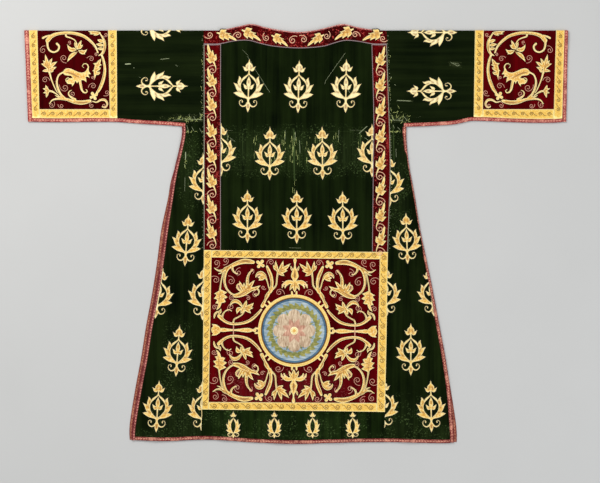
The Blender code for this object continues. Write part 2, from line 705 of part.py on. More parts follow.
# Scrollwork of a sleeve apparel, from the foot of the field's middle: x towards the neck, y up, width
SLEEVE_STEMS = {
    "club": [(48, 23, 10), (27, 18.5, 17), (3, 20.5, 14), (-21, 27.5, 10), (-45, 27, 7), (-64, 24, 4),
             (-71, 13, 3)],
    "club_barb": [(3, 28, 8), (-12, 37, 5), (-13, 50, 4), (-5, 55, 3)],
    "riser": [(-28, 30, 9), (-42, 53, 9), (-48.5, 77, 6), (-43, 95, 5), (-29, 104, 6)],
    "horn": [(18, 77, 10), (21, 58, 9), (28, 47, 6), (36, 48, 4)],
    "spray_stem": [(-47, 48, 4), (-60, 76, 4), (-69, 105, 7)],
    "twig": [(-43, 40, 3), (-58, 48, 6), (-70, 51, 6)],
    "great_stem": [(66, 48, 10), (80, 76, 12), (85.5, 110, 10), (79, 146, 7)],
    "arc": [(70, 157, 8), (54, 184, 10), (27, 204, 11), (-5, 212, 11), (-38, 212, 11), (-63, 203, 16),
            (-73, 188, 15)],
    "arc_scroll": [(-73, 190, 9), (-71, 172, 8), (-58, 163, 8), (-45, 167, 8), (-43, 178, 8),
                   (-51, 181, 9)],
    "arc_lip": [(-76, 196, 8), (-86, 200, 9)],
    "hanger": [(-22, 206, 6), (-10, 200, 5), (4, 194, 4), (9, 180, 7)],
    "upper_stem": [(72, 214, 6), (84, 195, 9), (86, 172, 12), (76, 152, 6)],
    "foot_scroll": [(54, 22, 4), (68, 19.5, 8), (80, 27, 9), (91, 22, 9), (91, 10, 8), (82, 9, 5)],
}
SLEEVE_LEAVES = {
    "flower_body": (-32, 110, 36, 92, 24, 2), "flower_tip": (8, 100, 48, 96, 17, 3),
    "flower_low": (10, 92, 36, 73, 14, 2), "flower_drop": (-4, 98, 5, 70, 13, 0),
    "flower_hook": (-6, 100, -16, 66, 14, -4), "flower_top": (14, 100, 38, 124, 12, -6),
    "spray_middle": (-70, 100, -80, 153, 15, 0), "spray_a": (-70, 112, -47, 132, 13, 3),
    "spray_b": (-71, 112, -91, 130, 13, -3), "spray_c": (-70, 106, -50, 112, 11, 2),
    "spray_d": (-71, 106, -90, 113, 11, -2), "small_up": (-72, 50, -78, 68, 10, 0),
    "small_down": (-72, 52, -76, 34, 10, 0), "small_out": (-70, 51, -88, 54, 9, 0),
    "side_leaf": (76, 140, 59, 85, 17, -4), "side_lobe": (74, 122, 56, 128, 11, 0),
    "side_lobe_low": (72, 106, 53, 110, 11, 0), "hung_left": (9, 168, -15, 184, 17, 6),
    "hung_right": (12, 168, 36, 160, 17, 6), "hung_up": (10, 168, 21, 190, 13, 0),
    "hung_horn": (8, 166, -15, 133, 11, -3), "upper_lobe": (84, 190, 68, 194, 12, 0),
    "upper_lobe_low": (84, 174, 66, 180, 12, 0),
}
SLEEVE_BLOSSOM = {"x": 56.0, "y": 37.0, "radius": 11.5}


def leaf_row(row):
    root_x, root_y, tip_x, tip_y, width, bend = row
    return leaf((root_x, root_y), (tip_x, tip_y), width, bend)


def skirt_scrolls():
    """All the scrollwork of the skirt apparel, about its middle."""
    quarter = [stem(rows) for rows in SKIRT_STEMS.values()] + [leaf_row(row)
                                                               for row in SKIRT_LEAVES.values()]
    quarter.append(rosette(BLOSSOM["x"], BLOSSOM["y"], BLOSSOM["radius"]))
    upper = quarter + mirrored(quarter) + [leaf_row(row) for row in SKIRT_AXIS.values()]
    spindles = [stem(SKIRT_SPINDLE)] + mirrored([stem(SKIRT_SPINDLE)])
    return united(upper + upended(upper) + spindles, SCROLL_TOLERANCE)


def sleeve_scrolls():
    shapes = [stem(rows) for rows in SLEEVE_STEMS.values()] + [leaf_row(row)
                                                               for row in SLEEVE_LEAVES.values()]
    shapes.append(rosette(SLEEVE_BLOSSOM["x"], SLEEVE_BLOSSOM["y"], SLEEVE_BLOSSOM["radius"]))
    return united(shapes, SCROLL_TOLERANCE)


# Places of the palmettes: middle x, y of the spear's point.
PALMETTES = {
    "front_centre": [(-133, 340), (7, 340), (140, 337), (-74, 151), (74.5, 152), (-210, 162), (213, 159),
                     (-136, -25), (2, -27), (131.6, -29)],
    "front_gore_left": [(-260, 84), (-307, -92), (-381, -242), (-264.5, -232), (-329, -398), (-389, -551),
                        (-266, -554)],
    "front_gore_right": [(266, 81), (309.7, -84), (260.4, -227), (375.2, -233), (321.4, -395),
                         (247.2, -543),
                         (377.4, -554)],
}
SLEEVE_PALMETTES = {  # distance of the spear's point from the middle, y of the axis
    "left": [(448, 413.5), (434, 579.6)],
    "right": [(451, 399.6), (454, 560.8)],
}
HEM_SPRIGS = [-175.6, -60.8, 46.5, 158.8]
VINE_TOPS = {"left": [522, 456, 386, 316, 244, 174, 101, 31], "right": [516, 444, 374, 300, 224, 152, 79,
                                                                        12]}
VINE_PITCH_AXIS = {"left": -232.0, "right": 238.0}
NECK_LEAVES = [  # x and y of the root, and turn in degrees
    (-215.8, 560.7, -130), (-146, 567.5, -139), (-63.6, 552.5, -143), (73.4, 554, 143),
    (155.6, 570.5, 139),
    (236.2, 561, 130),
]


# ---------------------------------------------------------------- edges of the pieces

SIGN = {"left": -1, "right": 1}


def sleeve_under(side, distance):
    return edge_at(f"under_{side}", distance)


def sleeve_line(side, name, y):
    at_fold, at_under = SLEEVE_LINES[side][name]
    share = (SLEEVE_LINE_TOP - y) / (SLEEVE_LINE_TOP - SLEEVE_LINE_BOTTOM)
    return SIGN[side] * (at_fold + (at_under - at_fold) * min(share, 1.1))


def seam(side, y):
    return edge_at(f"seam_{side}", y)


def roll_rows(low, low_back):
    """Places along a folded piece: up the front, round the roll, down the back."""
    front = steps_between(low, ROLL_Y - 30, 60)
    roll = [ROLL_Y + ROLL_ARC * i / ROLL_STEPS for i in range(ROLL_STEPS + 1)]
    back = [unrolled(y) for y in steps_between(ROLL_Y - 60, low_back, 110)]
    return front + roll + back


def folded_piece(name, material, wall, side, outer_line, inner_line, low, shapes=()):
    """A piece over the shoulder fold, between two lines across the sleeve.

    low gives the y of its ends at an x.
    """
    sign = SIGN[side]

    def edge(line, rows, offset):
        return [(line(rolled_back(v)) + offset, v) for v in rows]

    def lower(x, back):
        return unrolled(low(x) + BACK_TUCK) if back else low(x)

    outer_x = outer_line(low(outer_line(SLEEVE_LINE_BOTTOM))) - sign * SEAM / 2
    inner_x = inner_line(low(inner_line(SLEEVE_LINE_BOTTOM))) + sign * SEAM / 2
    floor = max(low(outer_x), low(inner_x))
    rows = roll_rows(floor + 14, floor + 30)
    out_run = edge(outer_line, rows, -sign * SEAM / 2)
    in_run = edge(inner_line, rows, sign * SEAM / 2)
    xs = [sign * d for d in corners_between(f"under_{side}", abs(outer_x), abs(inner_x))]
    for at, x in enumerate(xs):  # the underarm seam starts square
        if abs(abs(x) - UNDERARM[side]) < 12 and abs(inner_x) < UNDERARM[side]:
            xs[at] = sign * UNDERARM[side]
    front_end = [(x, lower(x, False)) for x in xs]
    back_end = [(x, lower(x, True)) for x in reversed(xs)]
    path = closed_path(front_end, in_run, back_end, list(reversed(out_run)))
    lines = [(along_line(a, b, GRID_STEP) if a[1] < ROLL_Y - 1 else [a, b], 0.0)
             for a, b in zip(out_run, in_run)]
    return sheet(name, material, path, folded_surface(wall), lines=lines, shapes=shapes, grid=0,
                 highest=ROLL_Y + ROLL_ARC / 2)


# ---------------------------------------------------------------- the pieces

def band_inner(side, y):
    return edge_at(f"band_{side}", y)


def apparel_y(corners, edge, x):
    """Height of the skirt apparel's top or bottom edge at an x."""
    (x0, y0), (x1, y1) = corners[f"{edge}_left"], corners[f"{edge}_right"]
    return y0 + (y1 - y0) * (x - x0) / (x1 - x0)


def field_side(side, y):
    """Side edge of the skirt apparel's red field at a height."""
    (x0, y0), (x1, y1) = APPAREL_INNER[f"top_{side}"], APPAREL_INNER[f"bottom_{side}"]
    return x0 + (x1 - x0) * (y - y0) / (y1 - y0)


def make_centre_front():
    half = SEAM / 2
    low = {side: apparel_y(APPAREL_OUTER, "top", band_inner(side, -45)) + half for side in SIGN}
    high = {side: edge_at("neck_lower", band_inner(side, 531)) - half for side in SIGN}
    down = [(band_inner("left", y) + half, y) for y in corners_between("band_left", high["left"],
                                                                       low["left"])]
    up = [(band_inner("right", y) - half, y) for y in corners_between("band_right", low["right"],
                                                                      high["right"])]
    bottom = along_line(down[-1], up[0], EDGE_STEP)
    top = [(x, edge_at("neck_lower", x) - half) for x in corners_between("neck_lower", up[-1][0],
                                                                         down[0][0])]
    path = closed_path(down, bottom, up, top[1:-1])
    shapes = [s for x, y in PALMETTES["front_centre"] for s in placed(palmette(), x, y)]
    sheet("front_centre", "green_velvet", path, front_surface(VELVET), lines=crease_lines(path),
          shapes=shapes)


def make_bands():
    half = SEAM / 2
    for side, sign in SIGN.items():
        outer_low, inner_low = seam(side, -45) - sign * half, band_inner(side, -45) + sign * half
        outer_high, inner_high = seam(side, BAND_TOP) - sign * half, band_inner(side,
                                                                                BAND_TOP) + sign * half
        top_run = [(x, edge_at("neck_lower", x) - half)
                   for x in corners_between("neck_lower", outer_high, inner_high)]
        out_run = [(seam(side, y) - sign * half, y) for y in
                   corners_between(f"seam_{side}", apparel_y(APPAREL_OUTER, "top", outer_low)
                                   + half, top_run[0][1])]
        in_run = [(band_inner(side, y) + sign * half, y) for y in
                  corners_between(f"band_{side}", top_run[-1][1], apparel_y(APPAREL_OUTER, "top",
                                                                            inner_low) + half)]
        shapes = []
        for tip in VINE_TOPS[side]:
            leaf_shapes = vine_leaf() if side == "left" else mirrored(vine_leaf())
            shapes += placed(leaf_shapes, VINE_PITCH_AXIS[side], tip - 46)
        sheet(f"orphrey_{side}", "red_velvet", closed_path(out_run, top_run[1:-1], in_run),
              front_surface(BRAID),
              shapes=shapes, grid=0)

    edge = NECK_END + half
    top = [(x, edge_at("neck_top", x) - PIPING - SEAM) for x in corners_between("neck_top", -NECK_END,
                                                                                NECK_END)]
    left_x, right_x = seam("left", BAND_TOP) + half, seam("right", BAND_TOP) - half
    low = [(x, edge_at("neck_lower", x) + half) for x in corners_between("neck_lower", right_x, left_x)]
    path = closed_path([(seam("left", ROLL_Y) + half, ROLL_Y - half), (-edge, ROLL_Y - half)], top,
                       [(edge, ROLL_Y - half), (seam("right", ROLL_Y) - half, ROLL_Y - half)], low)
    shapes = []
    single_leaf = united([VINE_LEAF], MOTIF_TOLERANCE)
    for x, y, turn in NECK_LEAVES:
        leaf_shapes = single_leaf if turn < 0 else mirrored(single_leaf)
        shapes += placed(leaf_shapes, x, y, math.radians(turn), NECK_LEAF_SIZE)
    sheet("neck_band", "red_velvet", path, front_surface(BRAID), shapes=shapes, grid=0)

    for side, sign in SIGN.items():
        rows = [ROLL_Y + half + (ROLL_ARC - SEAM) * i / ROLL_STEPS for i in range(ROLL_STEPS + 1)]
        ends = sorted((seam(side, FOLD_Y) - sign * half, sign * (edge + half)))
        path = closed_path([(ends[0], v) for v in rows], [(ends[1], v) for v in reversed(rows)])
        lines = [([(ends[0], v), (ends[1], v)], 0.0) for v in rows[1:-1]]
        sheet(f"shoulder_piece_{side}", "red_velvet", path, folded_surface(VELVET), lines=lines, grid=0)


def make_skirt_apparel():
    half = SEAM / 2

    for side, sign in SIGN.items():
        def rows_at(x, side=side):
            return corners_between(f"seam_{side}", apparel_y(APPAREL_OUTER, "top", x) - half,
                                   apparel_y(APPAREL_OUTER, "bottom", x) + half)

        out_run = [(seam(side, y) - sign * half, y) for y in rows_at(seam(side, ROUNDEL["y"]))]
        in_run = [(field_side(side, y) + sign * half, y) for y in rows_at(field_side(side, ROUNDEL["y"]))]
        sheet(f"skirt_frame_{side}", "gold", closed_path(out_run, list(reversed(in_run))),
              front_surface(BRAID),
              grid=0)
    for edge, move in (("top", -half), ("bottom", half)):
        def run_of(corners, move, edge=edge):
            ends = [field_side(side, corners[f"{edge}_{side}"][1]) - sign * half
                    for side, sign in SIGN.items()]
            return [(x, apparel_y(corners, edge, x) + move) for x in steps_between(*ends, FRAME_STEP)]

        out_run, in_run = run_of(APPAREL_OUTER, move), run_of(APPAREL_INNER, -move)
        sheet(f"skirt_frame_{edge}", "gold", closed_path(out_run, list(reversed(in_run))),
              front_surface(BRAID),
              grid=0)

    corners = []
    for edge, side in (("top", "left"), ("bottom", "left"), ("bottom", "right"), ("top", "right")):
        x, y = APPAREL_INNER[f"{edge}_{side}"]
        corners.append((x - SIGN[side] * half, y + (-half if edge == "top" else half)))
    path = closed_path(*[along_line(corners[i - 1], corners[i], EDGE_STEP) for i in range(4)])
    tilt = math.atan2(APPAREL_OUTER["top_right"][1] - APPAREL_OUTER["top_left"][1],
                      APPAREL_OUTER["top_right"][0] - APPAREL_OUTER["top_left"][0])
    shapes = placed(skirt_scrolls(), ROUNDEL["x"], ROUNDEL["y"], tilt)
    def ring_of(radius):
        return [(ROUNDEL["x"] + radius(i) * math.cos(2 * math.pi * (i + 0.5) / RING_SIDES),
                 ROUNDEL["y"] + radius(i) * math.sin(2 * math.pi * (i + 0.5) / RING_SIDES))
                for i in range(RING_SIDES)]

    clear = ring_of(lambda _: ROUNDEL["ring"] + ROUNDEL["tab"] + 1.5)
    sheet("skirt_apparel", "red_velvet", path, front_surface(VELVET), shapes=shapes, keep_out=[clear])
    rim = []
    reach, spread = ROUNDEL["ring"], ROUNDEL["tab_width"] / 2 / ROUNDEL["ring"]
    for k in range(RING_TABS):
        pitch = 2 * math.pi / RING_TABS
        for radius, offset in ((reach, -spread), (reach + ROUNDEL["tab"], -spread),
                               (reach + ROUNDEL["tab"], spread),
                               (reach, spread), (reach, pitch / 3), (reach, 2 * pitch / 3)):
            angle = k * pitch + offset
            rim.append((ROUNDEL["x"] + radius * math.cos(angle), ROUNDEL["y"] + radius * math.sin(angle)))
    hole = ring_of(lambda i: ROUNDEL["picture"] + half)
    over = VELVET + SEAM
    sheet("roundel_ring", "gold", rim, front_surface(BRAID - 0.2, over), holes=[hole], grid=0)
    sheet("roundel", "silk", ring_of(lambda i: ROUNDEL["picture"] - half), front_surface(ROUNDEL["wall"],
                                                                                         over))


def hem_inner(x):
    return edge_at("hem", x) + TRIM_WIDTH + SEAM


def back_hem(x):
    return hem_inner(x) + BACK_TUCK


def make_hem_strip():
    half = SEAM / 2
    top = {side: apparel_y(APPAREL_OUTER, "bottom", seam(side, -495)) - half for side in SIGN}
    left_x, right_x = seam("left", -568) + half, seam("right", -572) - half
    bottom = [(x, hem_inner(x)) for x in corners_between("hem", left_x, right_x)]
    down = [(seam("left", y) + half, y) for y in corners_between("seam_left", top["left"], bottom[0][1])]
    up = [(seam("right", y) - half, y) for y in corners_between("seam_right", bottom[-1][1],
                                                                top["right"])]
    shapes = [s for x in HEM_SPRIGS for s in placed(hem_sprig(), x, -572)]
    path = closed_path(down, bottom[1:-1], up, along_line(up[-1], down[0], EDGE_STEP))
    sheet("front_hem_strip", "green_velvet", path, front_surface(VELVET), shapes=shapes)


def gore_path(side, layer, hem):
    """A gore's outline: down the seam, along the hem, up the open side to the underarm."""
    sign, half = SIGN[side], SEAM / 2
    edge = f"{layer}_{side}"
    corner_x = edge_at(edge, -572) - sign * (TRIM_WIDTH + SEAM)
    seam_x = seam(side, -570) + sign * half
    hem_run = [(x, hem(x)) for x in corners_between("hem", seam_x, corner_x)]
    seam_run = [(seam(side, y) + sign * half, y)
                for y in corners_between(f"seam_{side}", GORE_TOP - half, hem_run[0][1])]
    side_run = [(edge_at(edge, y) - sign * (TRIM_WIDTH + SEAM), y)
                for y in corners_between(edge, hem_run[-1][1], sleeve_under(side, UNDERARM[side]))]
    corner_x = sign * UNDERARM[side]
    return closed_path(seam_run, hem_run[1:-1], side_run, [(corner_x, side_run[-1][1]),
                                                           (corner_x, GORE_TOP - half)])


def make_gores():
    for side in SIGN:
        path = gore_path(side, "front", hem_inner)
        name = f"front_gore_{side}"
        shapes = [s for x, y in PALMETTES[name] for s in placed(palmette(), x, y)]
        sheet(name, "green_velvet", path, front_surface(VELVET), lines=crease_lines(path), shapes=shapes)


def make_back():
    half = SEAM / 2
    for side in SIGN:
        sheet(f"back_gore_{side}", "green_velvet", gore_path(side, "back", back_hem),
              back_surface(VELVET), grid=0)
    neck = [(NECK_END, ROLL_Y - half), (NECK_END, BACK_NECK_Y - half), (-NECK_END, BACK_NECK_Y - half),
            (-NECK_END, ROLL_Y - half)]
    left_x, right_x = seam("left", -565) + half, seam("right", -570) - half
    bottom = [(x, back_hem(x)) for x in corners_between("hem", left_x, right_x)]
    down = [(seam("left", y) + half, y) for y in corners_between("seam_left", ROLL_Y - half,
                                                                 bottom[0][1])]
    up = [(seam("right", y) - half, y) for y in corners_between("seam_right", bottom[-1][1],
                                                                ROLL_Y - half)]
    sheet("back_centre", "green_velvet", closed_path(down, bottom[1:-1], up, neck), back_surface(VELVET),
          grid=0)


def make_sleeves():
    for side, sign in SIGN.items():
        def line(name, side=side):
            return lambda y: sleeve_line(side, name, y)

        def low(x, side=side):
            distance = abs(x)
            if distance < UNDERARM[side]:
                return GORE_TOP + SEAM / 2
            return sleeve_under(side, distance) + TRIM_WIDTH + SEAM

        shapes = []
        for distance, y in SLEEVE_PALMETTES[side]:
            shapes += placed(palmette(), sign * distance, y, math.radians(sign * 90))
        folded_piece(f"sleeve_{side}", "green_velvet", VELVET, side, line("end"),
                     lambda y, side=side: seam(side, y), low, shapes)
        folded_piece(f"sleeve_inner_frame_{side}", "gold", BRAID, side, line("inner"), line("end"), low)
        folded_piece(f"sleeve_cuff_frame_{side}", "gold", BRAID, side, line("trim"), line("frame"), low)

        def field_low(_):
            return SLEEVE_FIELD_BOTTOM + SEAM / 2

        middle = (sleeve_line(side, "frame", 450) + sleeve_line(side, "inner", 450)) / 2
        scrolls = sleeve_scrolls() if side == "left" else mirrored(sleeve_scrolls())
        folded_piece(f"sleeve_apparel_{side}", "red_velvet", VELVET, side, line("frame"), line("inner"),
                     field_low,
                     placed(scrolls, middle, SLEEVE_FIELD_BOTTOM))

        for layer in ("front", "back"):
            tuck = 0.0 if layer == "front" else BACK_TUCK
            high = SLEEVE_FIELD_BOTTOM - SEAM / 2 + tuck

            def ends_at(y, side=side):
                return abs(sleeve_line(side, "frame", y)) - SEAM / 2, abs(sleeve_line(side, "inner",
                                                                                      y)) + SEAM / 2

            low_ends = [ends_at(low(x))[i] for i, x in enumerate(ends_at(high))]
            run_low = [(sign * d, low(d) + tuck) for d in corners_between(f"under_{side}", *low_ends)]
            run_high = [(sign * d, high)
                        for d in reversed(corners_between(f"under_{side}", *ends_at(high)))]
            surface = front_surface(BRAID) if layer == "front" else back_surface(VELVET)
            sheet(f"sleeve_under_frame_{layer}_{side}", "gold", closed_path(run_low, run_high), surface,
                  grid=0)


def make_trims():
    for side, sign in SIGN.items():
        rows = roll_rows(sleeve_under(side, 750), sleeve_under(side, 750) + BACK_TUCK)
        outer = [(sleeve_line(side, "cuff", rolled_back(v)), v) for v in rows]
        inner = [(sleeve_line(side, "trim", rolled_back(v)) + sign * SEAM / 2, v) for v in rows]
        path = closed_path(outer, list(reversed(inner)))
        lines = [([a, b], 0.0) for a, b in zip(outer[1:-1], inner[1:-1])]
        sheet(f"cuff_trim_{side}", "galloon", path, folded_surface(VELVET + 0.4), lines=lines, grid=0)

        for layer in ("front", "back"):
            tuck = 0.0 if layer == "front" else BACK_TUCK
            surface, crown = trim_surface(layer)
            far = abs(sleeve_line(side, "trim", sleeve_under(side, 750))) - SEAM / 2
            under = f"under_{side}"
            xs = corners_between(under, UNDERARM[side] + SEAM, far)
            lower = [(sign * x, edge_at(under, x) + tuck) for x in xs]
            upper = [(x, y + TRIM_WIDTH) for x, y in lower]
            ribbon(f"sleeve_trim_{layer}_{side}", "galloon", lower, upper, surface, crown)

            edge = f"{layer}_{side}"
            bottom = edge_at("hem", sign * 455) + tuck
            ys = corners_between(edge, edge_at(under, UNDERARM[side]) - SEAM, bottom)
            outer = [(edge_at(edge, y), y) for y in ys]
            inner = [(x - sign * TRIM_WIDTH, y) for x, y in outer]
            ribbon(f"side_trim_{layer}_{side}", "galloon", outer, inner, surface, crown)

    for layer in ("front", "back"):
        tuck = 0.0 if layer == "front" else BACK_TUCK
        surface, crown = trim_surface(layer)
        left = max(edge_at(f"{layer}_left", y) for y in (-568, -588)) + TRIM_WIDTH + SEAM
        right = min(edge_at(f"{layer}_right", y) for y in (-568, -588)) - TRIM_WIDTH - SEAM
        lower = [(x, edge_at("hem", x) + tuck) for x in corners_between("hem", left, right)]
        ribbon(f"hem_trim_{layer}", "galloon", lower, [(x, y + TRIM_WIDTH) for x, y in lower], surface,
               crown)

    top = [(x, edge_at("neck_top", x)) for x in corners_between("neck_top", -NECK_END, NECK_END)]
    ribbon("neck_piping_front", "galloon", top, [(x, y - PIPING) for x, y in top],
           front_surface(TRIM_EDGE),
           PIPING_CROWN)
    ends = (-NECK_END + SEAM, NECK_END - SEAM)
    surface, crown = trim_surface("back")
    ribbon("neck_piping_back", "galloon", [(x, BACK_NECK_Y + PIPING) for x in ends],
           [(x, BACK_NECK_Y + SEAM / 2) for x in ends], surface, crown)


def trim_surface(layer):
    """How a galloon lies on the front or under it, and how high its middle stands."""
    if layer == "front":
        return front_surface(TRIM_EDGE), TRIM_CROWN
    return back_surface(BACK_TRIM), 0.0


def main():
    for piece in list(bpy.data.objects):
        bpy.data.objects.remove(piece)
    make_back()
    make_centre_front()
    make_bands()
    make_skirt_apparel()
    make_hem_strip()
    make_gores()
    make_sleeves()
    make_trims()


main()
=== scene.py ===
"""Looks of a velvet dalmatic laid flat: cut gold cloth held by couched cord, silk tendrils, woven galloon.

Lengths are in millimetres and become metres when a mesh is made. A place on a piece is x across the
garment, y along its cloth from the hem upwards, and h, the height over the cloth's own underside.
"""

import math

import bpy
import numpy as np
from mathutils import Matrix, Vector
from mathutils.geometry import delaunay_2d_cdt


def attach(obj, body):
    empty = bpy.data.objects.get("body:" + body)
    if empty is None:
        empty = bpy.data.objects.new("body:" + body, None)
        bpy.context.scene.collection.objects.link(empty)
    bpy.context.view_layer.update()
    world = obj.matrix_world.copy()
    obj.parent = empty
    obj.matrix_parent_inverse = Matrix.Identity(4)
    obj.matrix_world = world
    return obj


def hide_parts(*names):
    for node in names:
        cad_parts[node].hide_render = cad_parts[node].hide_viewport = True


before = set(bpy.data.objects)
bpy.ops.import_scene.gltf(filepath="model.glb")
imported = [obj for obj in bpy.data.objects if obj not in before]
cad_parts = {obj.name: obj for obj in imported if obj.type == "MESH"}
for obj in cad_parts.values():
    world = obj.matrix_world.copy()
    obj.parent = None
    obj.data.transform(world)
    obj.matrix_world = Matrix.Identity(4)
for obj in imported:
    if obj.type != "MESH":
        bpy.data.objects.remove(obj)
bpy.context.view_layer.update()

MM = 0.001
VELVET = 1.6            # height of the velvet over its own underside
BRAID = 2.2             # height of the red bands and of the frame strips
FRONT_REST = 2.1        # height of the front's underside where it lies lowest
SEAM = 0.3              # distance between pieces that are sewn to each other
GAP = SEAM / 2
TRIM_WIDTH = 10.0
PIPING = 3.4            # width of the neck's piping

FOLD_Y = 570.0          # the shoulder fold, and the radius of the cloth that rolls over it
FOLD_RADIUS = 3.3
ROLL_Y = FOLD_Y - FOLD_RADIUS
ROLL_ARC = math.pi * FOLD_RADIUS
ROLL_RISE = 2 * FOLD_RADIUS - FRONT_REST - VELVET
ROLL_REACH = 55.0

BACK_NECK_Y = 557.0
BAND_TOP = 531.0
BACK_TUCK = 1.5         # how far the back's edges lie within those of the front
GORE_TOP = 310.8
NECK_END = 212.0
CLOTH_STEP = 7.0        # distance between a cloth's points, on the front and on the back
BACK_STEP = 40.0
MERGE = 0.0005          # points that lie this close are one
CROWDED = 0.9           # least distance between points of a cut edge
EDGE_GAP = 2.4          # least distance of a cloth's inner points from its outline
SINK = 0.3              # how far a sewn-on piece presses into the pile
PADDING = 0.9           # rise of a gold shape's middle over the cloth
COUCHED = 0.95          # radius of the cord round a gold shape, and of a frame strip's edging
COUCHED_LIFT = 0.75     # height of that cord's middle over the cloth
COUCHED_ASIDE = 0.8     # and how far it lies outside of the shape's edge
SEAM_LIFT = 0.3         # height of a seam's cord over its band
EDGING_IN = 0.9         # how far a strip's edging lies within the strip
WAVE_CORD = 0.65        # radius of the cord that waves along a strip
COUCHED_DEEP = 0.15     # height of a strip's cords over the strip
FRONT_CROWN = 2.6       # height of the galloon on the front, and on the back
BACK_CROWN = 1.8

ROUNDEL = {"x": -5.0, "y": -270.8, "picture": 90.0, "ring": 101.5, "tab": 7.5}
SIGN = {"left": -1, "right": 1}

SIDE_EDGES = {
    "left": [  # y, front x, back x
        (311, -320.0, -317.0), (280, -319.5, -317.0), (235, -328.0, -326.0), (190, -338.8, -338.0),
        (146, -347.5, -351.0), (101, -354.2, -358.4), (11, -368.2, -377.5), (-78, -380.2, -389.2),
        (-168, -394.2, -403.2), (-258, -411.6, -420.0), (-347, -425.6, -434.0), (-437, -442.4, -450.8),
        (-526, -457.5, -465.0), (-560, -461.0, -467.0), (-588, -460.0, -464.0),
    ],
    "right": [
        (311, 310.0, 308.0), (280, 308.5, 307.0), (235, 311.5, 310.0), (190, 317.0, 316.0),
        (146, 325.0, 325.5), (101, 333.0, 334.0), (11, 348.0, 348.0), (-78, 366.8, 365.0),
        (-168, 385.0, 383.0), (-258, 401.8, 400.0), (-347, 418.6, 417.0), (-437, 431.8, 433.5),
        (-526, 439.0, 447.5), (-560, 441.5, 450.5), (-588, 442.0, 450.0),
    ],
}
BODY_SEAM = {  # y, x
    "left": [(-590, -266.5), (-491, -263.2), (-300, -260.5), (-45, -258.3), (200, -258.0), (575, -258.3)],
    "right": [(-590, 246.0), (-498, 249.2), (-300, 253.5), (-50, 257.6), (165, 264.4), (270, 263.3),
        (360, 260.2), (450, 257.1), (540, 254.0), (630, 250.9)],
}
BAND_INNER = {
    "left": [(-60, -210.2), (200, -210.6), (535, -210.0)],
    "right": [(-60, 212.8), (165, 215.4), (333, 216.8), (535, 211.4)],
}
NECK_TOP = [  # x, y
    (-262, 571), (-202, 573), (-157, 582), (-124, 588), (-90, 579.5), (-45, 571), (4, 565.5), (55, 570.5),
    (95, 580), (131, 588), (165, 580.5), (205, 573.5), (262, 571),
]
NECK_LOWER = [
    (-262, 531), (-216, 531), (-172, 539.5), (-132, 541), (-98, 532), (-60, 524.5), (11, 519.7), (78, 525),
    (108, 534), (138, 541), (176, 538), (216, 531), (262, 531),
]
HEM = [
    (-470, -577), (-360, -580), (-266, -576), (-200, -578), (-134, -583), (0, -588), (90, -585.5),
    (180, -583.5), (270, -583), (350, -585), (415, -586), (460, -584),
]
SLEEVE_UNDER = {  # distance from the middle, y
    "left": [(310, 300.6), (352, 304.2), (400, 307.0), (440, 309.5), (470, 311.8), (500, 314.0),
        (560, 314.5), (660, 313.6), (720, 314.2), (765, 315.2)],
    "right": [(302, 300.6), (345, 301.5), (400, 304.0), (440, 307.0), (465, 311.8), (487, 316.8),
        (520, 317.0), (560, 315.4), (610, 313.2), (670, 311.6), (728, 312.2), (765, 316.0)],
}
UNDERARM = {"left": 310.0, "right": 302.0}
SLEEVE_LINES = {  # distances from the middle at the fold and at the underside
    "left": {"cuff": (761.0, 751.0), "trim": (748.0, 739.0), "frame": (723.8, 717.9),
             "inner": (526.4, 521.4), "end": (501.8, 500.6)},
    "right": {"cuff": (761.0, 758.0), "trim": (752.0, 746.0), "frame": (728.0, 721.6),
              "inner": (525.6, 523.4), "end": (500.9, 497.6)},
}
SLEEVE_LINE_BOTTOM = 330.0
SLEEVE_FIELD_BOTTOM = 349.6
APPAREL_OUTER = {
    "top_left": (-258.3, -44.8), "top_right": (257.4, -50.4), "bottom_right": (249.2, -498.4),
    "bottom_left": (-263.2, -491.4),
}
APPAREL_INNER = {
    "top_left": (-236.3, -65.8), "top_right": (234.4, -70.8), "bottom_right": (226.2, -473.2),
    "bottom_left": (-244.2, -470.4),
}

CREASES = [  # x0, y0, x1, y1, width, height
    (-148, 514, -74, 398, 30, 1.5), (136, 505, 86, 430, 28, 1.3), (-442, 382, -322, 328, 34, 1.6),
    (312, 330, 420, 392, 34, 1.6), (-300, 250, -352, -130, 34, 1.4), (290, 240, 338, -120, 34, 1.4),
    (-300, -505, -395, -300, 36, 1.3), (300, -520, 372, -330, 36, 1.3),
]
RIPPLES = [  # middle x, width, height and reach up from the hem
    (-392, 90, 1.9, 190), (-196, 80, 1.6, 120), (-40, 110, 1.8, 90), (120, 80, 1.4, 100),
    (318, 90, 1.9, 190),
]
SOFT_FOLDS = [  # narrow handling folds: x0, y0, x1, y1, width, height
    (-190, 470, -150, 330, 16, 0.7), (60, 505, 110, 500, 14, 0.6), (-110, 502, 90, 502, 18, 0.5),
    (170, 300, 196, 60, 16, 0.6), (-182, 250, -160, 40, 18, 0.6), (20, 300, 36, 120, 15, 0.5),
    (-690, 540, -560, 546, 20, 0.5), (-420, 520, -300, 470, 22, 0.7), (420, 540, 300, 486, 22, 0.7),
    (-330, 120, -300, -60, 16, 0.6), (-410, -300, -330, -460, 20, 0.7), (400, -260, 330, -430, 20, 0.7),
    (300, 160, 330, 20, 16, 0.6), (-290, -120, -300, -330, 18, 0.5), (286, -90, 292, -280, 18, 0.5),
    (-230, -540, 190, -548, 22, 0.5),
]
FLAT_ROUND_ROUNDEL = (125.0, 210.0)  # between these distances from its middle the waves grow
FINE_STEP = 6.0         # distance between the places where an edge is worked out


# ---------------------------------------------------------------- tables and edges

